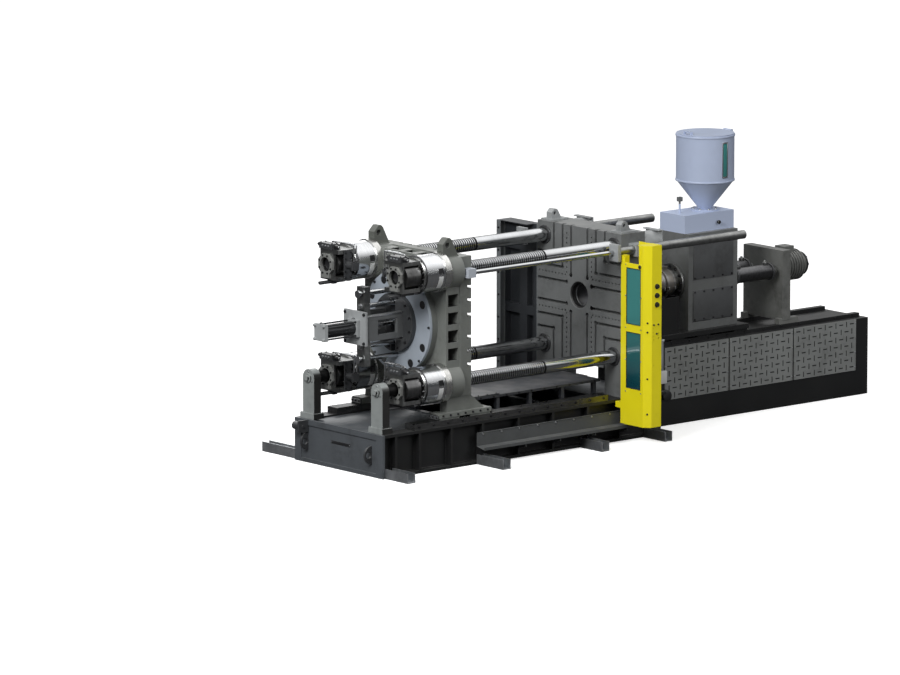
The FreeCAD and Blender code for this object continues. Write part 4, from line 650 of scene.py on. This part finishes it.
screw_tree = geometry_tree("screw_heads", {
    "Head Radius": 0.012, "Head Height": 0.010, "Corners": 12, "Recess Ratio": 0.55, "Recess Depth": 0.005,
    "Washer Radius": 0.015, "Washer Height": 0.002}, screw_nodes)
weld_tree = geometry_tree("weld_beads", {"Bead Radius": 0.005, "Ripple Pitch": 0.012, "Ripple": 0.22}, weld_nodes)
slot_sheet_tree = geometry_tree("slotted_sheet", {
    "Cell": 0.076, "Slot Length": 0.058, "Slot Width": 0.013, "Thickness": 0.003}, slot_nodes)


# ---- screws and places
def screws(name, spots, radius, body, finish=bolt_steel, hexagon=False, slot="dark_steel"):
    """Cap screws or hexagon heads on a list of (place, aim)."""
    grown(name, screw_tree, seed_points(spots), {
        "Head Radius": radius, "Head Height": radius * 0.85, "Corners": 6 if hexagon else 12,
        "Recess Ratio": 0.86 if hexagon else 0.55, "Recess Depth": radius * (-0.08 if hexagon else 0.45),
        "Washer Radius": radius * 1.28, "Washer Height": radius * 0.16}, finish, body, slot)


def circle_spots(x, centre, radius, angles, aim):
    """Places on a circle round an axis along X."""
    return [((x, centre[0] + radius * math.cos(math.radians(angle)),
              centre[1] + radius * math.sin(math.radians(angle))), aim) for angle in angles]


def spaced(low, high, count):
    return [low + (high - low) * place / (count - 1) for place in range(count)]


def aside(side):
    """The aim to one side, along Y."""
    return (0.0, float(side), 0.0)


# places across the machine: the screw axis, the four tie bars, and eight even turns
middle = (0.0, axis_z)
bar_centres = [(side * bar_y, axis_z + level * bar_z) for side, level in corners]
eighths = [22.5 + 45.0 * turn for turn in range(8)]


# ---- bed
def make_bed_details():
    stations = [-2.991, -2.684, -2.272, -1.863, -1.395, -0.937, -0.470, -0.040, 0.380]
    ends = [bed_left + 0.030] + stations + [0.583]
    web_depth, half_rib, inset = 0.080, 0.013, 0.003
    low, high = 0.033, 0.401
    lines = []
    for side in (-1, 1):
        face = side * (bed_half - web_depth + inset)
        for station in stations:
            for edge in (-half_rib - inset, half_rib + inset):
                lines.append(((station + edge, face, low), (station + edge, face, high)))
        for left, right in zip(ends, ends[1:]):
            lines += [((left + half_rib, face, level), (right - half_rib, face, level)) for level in (low, high)]
    grown("bed_weld_beads", weld_tree, seed_lines(lines), {}, bed_paint, "root", "bed_paint")

    recess = bed_left + 0.012
    plate = (recess - 0.002, recess)
    Shape("bed_name_plate").block(plate, (-0.17, 0.125), (0.246, 0.276), 0.0008).place(
        "root", black_plastic, "black_plastic")
    screws("bed_name_plate_rivets", [((plate[0], y, 0.261), left_aim) for y in (-0.160, 0.115)], 0.004, "root", zinc)

    spots = [((x, side * rail_high.y, 0.464), aside(side)) for side in (-1, 1)
             for x in spaced(rail_low.x + 0.06, rail_high.x - 0.06, 14)]
    screws("slideway_side_screws", spots, 0.0105, "root")

    heads, caps = [], Shape("upright_bearing_rings")
    upright_left, upright_right, foot_x, foot_top = -3.115, -3.025, (-3.127, -3.013), 0.489
    for side in (-1, 1):
        centre = (side * bar_y, axis_z - bar_z)
        heads += circle_spots(upright_left, centre, 0.064, (90, 210, 330), left_aim)
        heads += [((x, centre[0] + y, foot_top), up_aim) for x in foot_x for y in (-0.096, 0.096)]
        caps.turned([(0.0, 0.0735), (0.0, 0.0605), (0.012, 0.0605), (0.012, 0.070), (0.009, 0.0735)],
                    (upright_right, *centre), right_aim, 48, hollow=True)
    screws("upright_screws", heads, 0.0075, "root", zinc)
    caps.place("root", ring_steel, "machined_steel")


def make_tray_details():
    low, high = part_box("side_tray")
    wall = -bed_half - 0.003
    spots = [((x, wall, 0.298), front_aim) for x in spaced(low.x + 0.08, high.x - 0.08, 9)]
    screws("side_tray_screws", spots, 0.008, "root", zinc)
    Shape("side_tray_edge_strip").block((low.x + 0.004, high.x - 0.004), (wall - 0.0035, wall), (0.309, 0.317),
                                        0.0012).place("root", tray_paint, "bed_paint")


def make_platform_details():
    low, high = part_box("drop_platform")
    spots = [((x, side * 0.400, 0.5905), aside(side)) for side in (-1, 1)
             for x in spaced(low.x + 0.08, high.x - 0.08, 11)]
    screws("drop_platform_screws", spots, 0.008, "root")
    low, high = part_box("moving_cover")
    spots = [((x, side * 0.375, 0.614), up_aim) for side in (-1, 1) for x in spaced(low.x + 0.12, high.x - 0.03, 5)]
    screws("moving_cover_screws", spots, 0.006, "moving_platen")


# ---- platens and tie bars
def make_platen_details():
    platens = (("stationary_platen", "root", fixed_face, left_aim),
               ("moving_platen", "moving_platen", moving_face, right_aim))
    ring = [(0.0, 0.0720), (0.0, 0.098), (0.008, 0.098), (0.012, 0.094), (0.012, 0.078), (0.009, 0.0720)]
    lip = [(0.009, 0.0712), (0.009, 0.0775), (0.0135, 0.0775), (0.016, 0.0712)]
    for part, outline, finish, slot in (("rings", ring, dark_block, "machined_steel"),
                                        ("seals", lip, seal_rubber, "black_plastic")):
        for platen, body, face, aim in platens:
            shape = Shape(platen + "_bar_" + part)
            for centre in bar_centres:
                shape.turned(outline, (face, *centre), aim, 48, hollow=True)
            shape.place(body, finish, slot)
    for platen, body, face, aim in platens:
        spots = [spot for centre in bar_centres
                 for spot in circle_spots(face + 0.0115 * aim[0], centre, 0.087, eighths, aim)]
        screws(platen + "_ring_screws", spots, 0.0045, body)
    retainer_right, offsets = 0.554, (-0.098, 0.098)
    spots = [((retainer_right, centre[0] + y, centre[1] + z), right_aim) for centre in bar_centres
             for y in offsets for z in offsets]
    screws("tie_bar_retainer_screws", spots, 0.012, "root")

    bar_end = -2.8466
    covers = Shape("upper_bar_end_covers")
    for side in (-1, 1):
        covers.turned([(0.0, 0.0), (0.0, 0.062), (0.003, 0.0635), (0.006, 0.0635), (0.006, 0.0)],
                      (bar_end, side * bar_y, axis_z + bar_z), right_aim, 40)
    covers.place("root", black_plastic, "black_plastic")
    # painted shade: a near-black sleeve lines the nozzle well in place of its shade
    Shape("nozzle_well_shade_liner").rim(0.150, 0.1885, 0.225, (0.088, *middle), right_aim, 64).place(
        "root", dark_block, "dark_steel")
    Shape("locating_bore_ring").turned([(0.0, 0.1245), (0.0, 0.118), (0.004, 0.114), (0.012, 0.114), (0.012, 0.1245)],
                                       (0.066, *middle), right_aim, 64, hollow=True).place(
        "root", dark_block, "dark_steel")

    foot_half, foot_x, foot_z = 0.048, (-2.295, -2.102), 2.105
    lines = []
    for y in (-bar_y, bar_y):
        ring = [(x, y + edge, foot_z) for edge, spans in ((-foot_half, foot_x), (foot_half, foot_x[::-1]))
                for x in spans]
        lines += zip(ring, ring[1:] + ring[:1])
    grown("moving_lug_weld_beads", weld_tree, seed_lines(lines), {"Bead Radius": 0.006}, boss_paint, "moving_platen",
          "platen_paint")

    spots = circle_spots(disc_face, middle, 0.492, (0, 46, 90, 134, 180, 226, 270, 314), left_aim)
    screws("rear_disc_screws", spots, 0.0115, "moving_platen")
    holes = Shape("rear_disc_hole_liners")
    angles = (62.5, 29.0, 331.0, 297.5, 242.5, 209.0, 151.0, 117.5)
    for place, aim in circle_spots(disc_face, middle, 0.445, angles, right_aim):
        holes.turned([(0.002, 0.0), (0.002, 0.0417), (0.0286, 0.0417), (0.0286, 0.0)], place, aim, 40)
    holes.place("moving_platen", black_plastic, "black_plastic")


def make_shoe_details():
    low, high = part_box("platen_shoes")
    wiper, plate = 0.010, 0.014  # how far out each one reaches
    wipers, plates, spots = Shape("shoe_wipers"), Shape("shoe_wiper_plates"), []
    for side in (-1, 1):
        spots += [((x, side * 0.6765, 0.537), aside(side)) for x in spaced(low.x + 0.05, high.x - 0.05, 7)]
        y = sorted((side * 0.5285, side * 0.6745))
        for edge, out in ((low.x, -1), (high.x, 1)):
            wipers.block((edge, edge + out * wiper), y, (0.4945, 0.548), 0.002)
            plates.block((edge + out * wiper, edge + out * plate), (y[0] + 0.003, y[1] - 0.003), (0.503, 0.544), 0.001)
            spots += [((edge + out * plate, place, 0.526), (float(out), 0.0, 0.0))
                      for place in spaced(y[0] + 0.02, y[1] - 0.02, 3)]
    wipers.place("moving_platen", seal_rubber, "black_plastic")
    plates.place("moving_platen", zinc, "galvanised")
    screws("shoe_screws", spots, 0.009, "moving_platen")


# ---- clamp drums and nut housings
def make_drum_details():
    plates, glasses, bands = Shape("drum_blank_plates"), Shape("drum_window_covers"), Shape("drum_end_bands")
    flange_screws, plate_screws = [], []
    rivet_radius, flange_left = 0.1922, -2.642
    angles = [turn + spread for turn in (0, 180) for spread in (-36, -12, 12, 36)]
    for y, z in bar_centres:
        plates.curved_plate((drum_rings_left - 0.088, drum_rings_left - 0.034), (y, z),
                            (drum_radius + 0.0002, drum_radius + 0.0022), (math.radians(184), math.radians(224)))
        for angle in (187, 221):
            across = (math.cos(math.radians(angle)), math.sin(math.radians(angle)))
            plate_screws += [((drum_rings_left - back, y + rivet_radius * across[0], z + rivet_radius * across[1]),
                              (0.0, *across)) for back in (0.083, 0.039)]
        glasses.block((drum_rings_left - 0.0915, drum_rings_left - 0.0305), (y - 0.1735, y - 0.1685),
                      (z + 0.0065, z + 0.0655), 0.0015)
        bands.turned([(0.0, drum_radius + 0.0002), (0.0, 0.1935), (0.0035, 0.1960), (0.0115, 0.1960),
                      (0.015, 0.1935), (0.015, drum_radius + 0.0002)], (drum_rings_left - 0.253, y, z),
                     right_aim, 72, hollow=True)
        flange_screws += circle_spots(flange_left, (y, z), 0.152, angles, left_aim)
    plates.place("moving_platen", blank_plate, "pale_paint")
    glasses.place("moving_platen", black_plastic, "black_plastic")
    bands.place("moving_platen", dark_steel, "dark_steel")
    screws("drum_flange_screws", flange_screws, 0.0125, "moving_platen")
    screws("drum_plate_rivets", plate_screws, 0.0025, "moving_platen", zinc)


def make_nut_carrier_details():
    pipes, fittings = Shape("nut_valve_pipes"), Shape("nut_pipe_fittings")
    coils, caps = Shape("valve_coils"), Shape("valve_coil_caps")
    ring_screws, block_screws, plugs, plate_screws = [], [], [], []
    ring_left, coil_x, valve_x = -2.898, -2.849, -2.775
    for side, level in corners:
        y, z = side * bar_y, axis_z + level * bar_z
        ring_screws += circle_spots(ring_left, (y, z), 0.094, eighths, left_aim)
        block_screws += [((nut_left + dx, y + dy, z + 0.2131), up_aim) for dx in (0.014, 0.076)
                         for dy in (-0.085, 0.085)]
        plugs += [((nut_left, y + dy, z + 0.184), left_aim) for dy in (-0.045, 0.0, 0.045)]
        for out in (-1, 1):
            base = (coil_x, y + out * 0.100, z + 0.186)
            coils.rim(0.0, 0.020, 0.052, base, aside(out), 24, 0.004)
            caps.turned([(0.052, 0.0), (0.052, 0.011), (0.064, 0.011), (0.067, 0.008), (0.067, 0.0)], base,
                        aside(out), 20)
        inward, run = y - side * 0.292, z + 0.2185
        for shift, start in ((-0.016, y + side * 0.030), (0.016, y - side * 0.012)):
            x = nut_middle + shift
            ends = (x, inward, z + 0.040), (valve_x, start, z + 0.193)
            pipes.pipe([ends[1], (valve_x, start, run), (x, y - side * 0.10, run), (x, inward, run), ends[0]],
                       0.0075, 0.012)
            for place in ends:
                fittings.rim(0.0, 0.012, 0.018, place, up_aim, 6, 0.004)
        plate_screws += [((nut_middle + dx, y - side * 0.184, z + dz), aside(-side))
                         for dz in (-0.125, -0.065, 0.065, 0.125) for dx in (-0.036, 0.036)]
    body = "nut_carriers"
    pipes.place(body, zinc, "galvanised")
    fittings.place(body, dark_steel, "dark_steel")
    coils.place(body, black_plastic, "black_plastic")
    caps.place(body, zinc, "galvanised")
    screws("nut_end_ring_screws", ring_screws, 0.0085, body)
    screws("valve_block_screws", block_screws, 0.0075, body)
    screws("valve_block_plugs", plugs, 0.011, body, zinc, hexagon=True)
    screws("opening_cylinder_screws", plate_screws, 0.0075, body)


# ---- ejector
def make_ejector_details():
    frame_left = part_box("ejector_frame")[0].x
    spots = [((frame_left, y, axis_z + z), left_aim) for y in (-0.145, 0.0, 0.145) for z in (-0.145, 0.0, 0.145)
             if abs(y) + abs(z) > 0.2]
    screws("ejector_frame_screws", spots, 0.0135, "moving_platen")
    flange_x = (disc_face - 0.050, disc_face)
    flange_radius, rod_slot = 0.296, 0.030
    reach = math.acos(rod_slot / flange_radius)
    flange = Shape("ejector_base_flange")
    for side in (-1, 1):
        angles = [reach * (turn / 24 - 1) for turn in range(49)]
        flange.plate(flange_x, [(side * flange_radius * math.cos(angle), axis_z + flange_radius * math.sin(angle))
                                for angle in angles])
    flange.place("moving_platen", flange_paint, "dark_steel")
    spots = circle_spots(flange_x[0], middle, 0.262, range(15, 360, 30), left_aim)
    screws("ejector_flange_screws", spots, 0.0115, "moving_platen")
    spots = [((x, 0.0, axis_z + 0.085), up_aim) for x in (-3.385, -2.975)]
    screws("ejector_port_plugs", spots, 0.015, "moving_platen", zinc, hexagon=True)
    crosshead_left, crosshead_right = -2.879, -2.804
    spots = [((crosshead_left, 0.0, axis_z + z), left_aim) for z in (-0.2, 0.2)]
    screws("ejector_rod_nuts", spots, 0.026, "ejector", zinc, hexagon=True)
    bushes = Shape("crosshead_guide_bushes")
    for z in (-0.33, 0.33):
        bushes.rim(0.0262, 0.043, 0.010, (crosshead_right, 0.0, axis_z + z), right_aim, 40, 0.003)
    bushes.place("ejector", bronze, "machined_steel")
    Shape("ejector_stroke_scale").block((-2.92, -2.47), (-0.1525, -0.150), (axis_z + 0.112, axis_z + 0.126),
                                        0.0006).place("moving_platen", zinc, "galvanised")


# ---- guard
def make_guard_details():
    face, front = post_low.x, post_low.y
    spots = [((x, front, z), front_aim) for x, z in ((-0.020, 1.250), (0.040, 1.250), (0.019, 1.157))]
    spots += [((face + 0.0315, front + 0.0315, z), (-0.707, -0.707, 0.0)) for z in (1.27, 1.175, 0.70, 0.34)]
    screws("guard_post_screws", spots, 0.008, "root", black_plastic, slot="black_plastic")
    (left, right), width = (-1.057, -0.841), 0.007
    gasket = Shape("guard_window_gaskets")
    for low, high in ((0.578, 1.155), (1.233, 1.808)):
        for z in ((low, low + width), (high - width, high)):
            gasket.block((face - 0.002, face + 0.004), (left, right), z, 0.0008)
        for y in ((left, left + width), (right - width, right)):
            gasket.block((face - 0.0018, face + 0.004), y, (low + width, high - width), 0.0008)
    gasket.place("root", seal_rubber, "black_plastic")
    Shape("guard_window_latch").rim(0.0, 0.020, 0.009, (face, -1.045, 1.832), left_aim, 32, 0.003).place(
        "root", black_plastic, "black_plastic")
    spots = [((face, y, z), left_aim) for y in (-1.064, -0.833) for z in (0.545, 0.87, 1.194, 1.52, 1.838)
             if not (y < -1.0 and z > 1.8)]
    screws("guard_frame_screws", spots, 0.0055, "root", zinc)
    low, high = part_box("guard_column_rear")
    spots = [((low.x, high.y - 0.034, z), left_aim) for z in spaced(0.35, high.z - 0.08, 8)]
    screws("rear_column_screws", spots, 0.009, "root")


# ---- injection unit
def make_vent_panels():
    cell, columns, rows = 0.076, 11, 7
    reach = columns * cell / 2
    first_left, pitch, width = 0.843, 0.900, 0.880
    low, high, edge = 0.266, 0.808, 0.005
    back, sheet_y, front = 0.3644, 0.3700, 0.3722
    sheets, rims, rim_screws = [], Shape("vent_panel_rims"), []
    for side in (-1, 1):
        for panel in range(3):
            left = first_left + pitch * panel
            right = left + width
            centre = (left + right) / 2
            sheets += [((centre + (column - (columns - 1) / 2) * cell, side * sheet_y,
                         (low + high) / 2 + (row - (rows - 1) / 2) * cell), aside(side), (column + row) % 2)
                       for column in range(columns) for row in range(rows)]
            for x, z in (((left, centre - reach), (low, high)), ((centre + reach, right), (low, high)),
                         ((centre - reach, centre + reach), (low, low + edge)),
                         ((centre - reach, centre + reach), (high - edge, high))):
                rims.block(x, (side * back, side * front), z, 0.001)
            rim_screws += [((x, side * front, z), aside(side)) for x in (left + 0.011, right - 0.011)
                           for z in spaced(low + 0.04, high - 0.04, 4)]
    sheet = grown("vent_slotted_sheets", slot_sheet_tree, seed_points(sheets), {"Cell": cell}, vent_paint, "root",
                  "platen_paint")
    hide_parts("injection_vent_panels")
    rims.place("root", vent_paint, "platen_paint")
    screws("vent_panel_screws", rim_screws, 0.006, "root", zinc)
    # painted shade: a near-black sheet behind the vent slots stands in for the shade inside
    shade_backing = Shape("vent_shade_backing")
    for side in (-1, 1):
        shade_backing.block((0.850, 3.516), (side * 0.3643, side * 0.3655), (0.272, 0.802))
    shade_backing.place("root", seal_rubber, "black_plastic")


def make_injection_details():
    spots = [((x, side * 0.295, 0.834), aside(side)) for side in (-1, 1) for x in spaced(0.75, 3.55, 12)]
    screws("injection_rail_screws", spots, 0.009, "root")

    housing_y, cover_y = 0.250, 0.256
    covers, spots = Shape("injection_housing_covers"), []
    for side in (-1, 1):
        for z in ((1.010, 1.330), (1.440, 1.840)):
            covers.block((1.335, 1.886), (side * housing_y, side * cover_y), z, 0.002)
        spots += [((x, side * cover_y, z), aside(side)) for x in spaced(1.355, 1.866, 5)
                  for z in (1.028, 1.312, 1.458, 1.822)]
    covers.place("carriage", cover_paint, "platen_paint")
    screws("injection_cover_screws", spots, 0.0085, "carriage")

    Shape("barrel_mounting_flange").turned(
        [(0.0, 0.1262), (0.0, 0.190), (0.020, 0.195), (0.028, 0.195), (0.028, 0.1262)], (1.243, *middle),
        right_aim, 72, hollow=True).place("carriage", grey_steel, "machined_steel")
    spots = circle_spots(1.245, middle, 0.162, range(0, 360, 30), left_aim)
    screws("barrel_flange_screws", spots, 0.014, "carriage")

    width = 0.012
    straps, spots = Shape("heater_band_straps"), []
    for left in (0.660 + 0.142 * band + edge for band in range(4) for edge in (0.012, 0.094)):
        straps.rim(0.1392, 0.1412, width, (left, *middle), right_aim, 64)
        straps.block((left - 0.001, left + 0.013), (-0.150, -0.132), (axis_z - 0.052, axis_z - 0.022), 0.002)
        spots.append(((left + width / 2, -0.141, axis_z - 0.022), up_aim))
    straps.place("carriage", zinc, "galvanised")
    screws("heater_band_clamp_screws", spots, 0.005, "carriage", zinc)

    port_half, port_top = 0.022, axis_z + 0.104
    rings, ports, spots = Shape("ram_gland_rings"), Shape("ram_ports"), []
    for y in (-ram_y, ram_y):
        for x in (1.952, 2.446):
            rings.turned([(0.0, 0.0785), (0.0, 0.088), (0.003, 0.090), (0.019, 0.090), (0.022, 0.088),
                          (0.022, 0.0785)], (x, y, axis_z), right_aim, 48, hollow=True)
        for x in (2.02, 2.40):
            ports.block((x - port_half, x + port_half), (y - port_half, y + port_half), (axis_z + 0.072, port_top),
                        0.003)
            spots.append(((x, y, port_top), up_aim))
    rings.place("carriage", dark_block, "dark_steel")
    ports.place("carriage", grey_steel, "machined_steel")
    screws("ram_port_plugs", spots, 0.014, "carriage", zinc, hexagon=True)


def make_drive_details():
    motor_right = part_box("screw_drive")[1].x
    fins = Shape("drive_motor_fins")
    for x in spaced(2.70, 2.98, 9):
        fins.rim(motor_radius - 0.001, motor_radius + 0.012, 0.012, (x, *middle), right_aim, 56)
    fins.place("screw_drive", machine_grey, "machined_steel")
    Shape("drive_motor_cap").turned(
        [(0.0, 0.0), (0.0, 0.123), (0.010, 0.123), (0.018, 0.111), (0.018, 0.0)], (motor_right, *middle), right_aim,
        56).place("screw_drive", dark_block, "dark_steel")
    spots = circle_spots(motor_right + 0.0165, middle, motor_radius * 0.64, range(0, 360, 45), right_aim)
    spots += [((2.650, y, axis_z), right_aim) for y in (-ram_y, ram_y)]
    screws("drive_screws", spots, 0.014, "screw_drive")


def make_hopper_details():
    wall, foot_radius, foot_top = 0.2998, 0.122, 2.119
    rims = Shape("hopper_rims")
    for z, outer in ((2.412, 0.3045), (2.876, 0.3055)):
        rims.turned([(0.0, wall), (0.0, outer), (0.003, outer + 0.002), (0.015, outer + 0.002), (0.018, outer),
                     (0.018, wall)], (hopper_x, 0.0, z), up_aim, 72, hollow=True)
    rims.place("carriage", pale_paint, "pale_paint")
    spots = [((hopper_x + foot_radius * math.cos(turn), foot_radius * math.sin(turn), foot_top), up_aim)
             for turn in map(math.radians, eighths)]
    screws("hopper_foot_screws", spots, 0.011, "carriage", zinc, hexagon=True)
    Shape("hopper_sight_glass").block((1.694, 1.746), (-0.3045, -0.2985), (2.480, 2.820), 0.003).place(
        "carriage", window, "guard_glass")
    frame_sides = Shape("hopper_sight_frame")
    for x, z in (((1.684, 1.694), (2.465, 2.835)), ((1.746, 1.756), (2.465, 2.835)),
                 ((1.694, 1.746), (2.465, 2.480)), ((1.694, 1.746), (2.820, 2.835))):
        frame_sides.block(x, (-0.3065, -0.2960), z, 0.002)
    frame_sides.place("carriage", zinc, "galvanised")
    Shape("hopper_gate_knob").turned(
        [(0.0, 0.0), (0.0, 0.008), (0.050, 0.008), (0.052, 0.018), (0.072, 0.021), (0.080, 0.016), (0.080, 0.0)],
        (hopper_x, -0.150, 2.000), front_aim, 24).place("carriage", black_plastic, "black_plastic")


def make_riser_pipe():
    """Upright pipe with its valve and filter at the foot of the injection unit."""
    x, y = 0.720, -0.455
    pipe = Shape("riser_pipe")
    pipe.turned([(0.47, 0.0), (0.47, 0.024), (0.905, 0.024), (0.905, 0.034), (0.920, 0.034), (0.925, 0.030),
                 (0.925, 0.0)], (x, y, 0.0), up_aim)
    pipe.pipe([(x, y, 0.86), (x, y + 0.055, 0.86), (x, -0.366, 0.80)], 0.016)
    pipe.place("root", galvanised, "galvanised")
    Shape("riser_filter_box").block((x - 0.045, x + 0.045), (y - 0.040, y + 0.040), (0.470, 0.600), 0.006).place(
        "root", blank_plate, "pale_paint")
    valve = Shape("riser_valve")
    valve.block((x - 0.060, x + 0.060), (y - 0.050, -0.3645), (0.300, 0.400), 0.008)
    valve.rim(0.0, 0.035, 0.070, (x, y, 0.400), up_aim, 32)
    valve.turned([(0.0, 0.0), (0.0, 0.020), (0.030, 0.020), (0.034, 0.055), (0.046, 0.058), (0.050, 0.050),
                  (0.050, 0.0)], (x, y - 0.050, 0.350), front_aim)
    valve.place("root", black_plastic, "black_plastic")


make_bed_details()
make_tray_details()
make_platform_details()
make_platen_details()
make_shoe_details()
make_drum_details()
make_nut_carrier_details()
make_ejector_details()
make_guard_details()
make_vent_panels()
make_injection_details()
make_drive_details()
make_hopper_details()
make_riser_pipe()


# ---- camera, light and floor
def in_scene(name, data):
    thing = bpy.data.objects.new(name, data)
    bpy.context.scene.collection.objects.link(thing)
    return thing


def aim_along(thing, direction):
    thing.rotation_mode = "QUATERNION"
    thing.rotation_quaternion = direction.to_track_quat("-Z", "Y")


def make_camera():
    turn, rise = math.radians(-40.4), math.radians(10.0)
    back = Vector((math.sin(turn) * math.cos(rise), -math.cos(turn) * math.cos(rise), math.sin(rise)))
    right = Vector((math.cos(turn), math.sin(turn), 0.0))
    frame_width, sensor, lens = 9.128, 36.0, 300.0
    target = Vector((0.0, 0.0, axis_z)) + right * -1.308 + back.cross(right) * -0.431
    data = bpy.data.cameras.new("camera")
    data.lens = lens
    data.sensor_width = sensor
    data.clip_start, data.clip_end = 1.0, 1000.0
    camera = in_scene("camera", data)
    camera.location = target + back * (frame_width * lens / sensor)
    aim_along(camera, -back)
    bpy.context.scene.camera = camera


def area_light(name, place, target, size, power):
    data = bpy.data.lights.new(name, "AREA")
    data.shape = "RECTANGLE"
    data.size, data.size_y = size
    data.energy = power
    light = in_scene(name, data)
    light.location = place
    aim_along(light, Vector(target) - Vector(place))


def make_studio():
    """White surround that is darker near the horizon, so polished bars show a dark band."""
    world = bpy.data.worlds.new("studio")
    bpy.context.scene.world = world
    world.use_nodes = True
    tree = world.node_tree
    height = apart(tree, tree.nodes.new("ShaderNodeTexCoord").outputs["Generated"])["Z"]
    ramp = add(tree, "ShaderNodeValToRGB", {"Fac": height})
    for stop, position, colour in zip(ramp.color_ramp.elements, (0.25, 0.70), ((0.04, 0.042, 0.044, 1), (1, 1, 1, 1))):
        stop.position = position
        stop.color = colour
    path = tree.nodes.new("ShaderNodeLightPath").outputs
    feed(tree, tree.nodes["Background"], {
        "Color": mixed(tree, path["Is Camera Ray"], ramp.outputs["Color"], (1.3, 1.3, 1.3, 1)),
        "Strength": remap(tree, path["Is Glossy Ray"], 0.0, 1.0, 0.8, 1.8)})
    area_light("key", (-11.0, -4.0, 8.0), (-0.8, 0.0, 1.2), (5.0, 4.0), 1150.0)
    area_light("fill", (2.0, -11.0, 5.5), (-0.3, 0.0, 1.2), (5.0, 3.0), 255.0)
    area_light("back", (3.0, 10.0, 7.0), (0.3, 0.0, 1.0), (7.0, 4.0), 300.0)


def make_floor():
    """A pale floor that is darker where it only lights the machine from below."""
    span = 300.0
    data = bpy.data.meshes.new("floor")
    data.from_pydata([(-span, -span, 0), (span, -span, 0), (span, span, 0), (-span, span, 0)], [], [(0, 1, 2, 3)])
    floor = in_scene("floor", data)
    material, tree, shader = new_finish("pale_floor")
    tone = remap(tree, noise(tree, object_place(tree), 0.6), 0.3, 0.7)
    seen = tree.nodes.new("ShaderNodeLightPath").outputs["Is Camera Ray"]
    pale = mixed(tree, tone, (0.90, 0.90, 0.90, 1), (0.93, 0.93, 0.93, 1))
    feed(tree, shader, {
        "Base Color": mixed(tree, seen, (0.09, 0.09, 0.093, 1), pale),
        "Emission Color": mixed(tree, seen, (0, 0, 0, 1), (0.5, 0.5, 0.5, 1)), "Emission Strength": 1.0,
        "Roughness": 0.9, "Specular IOR Level": 0.1})
    data.materials.append(material)


make_camera()
make_studio()
make_floor()
bpy.context.scene.view_settings.view_transform = "Standard"
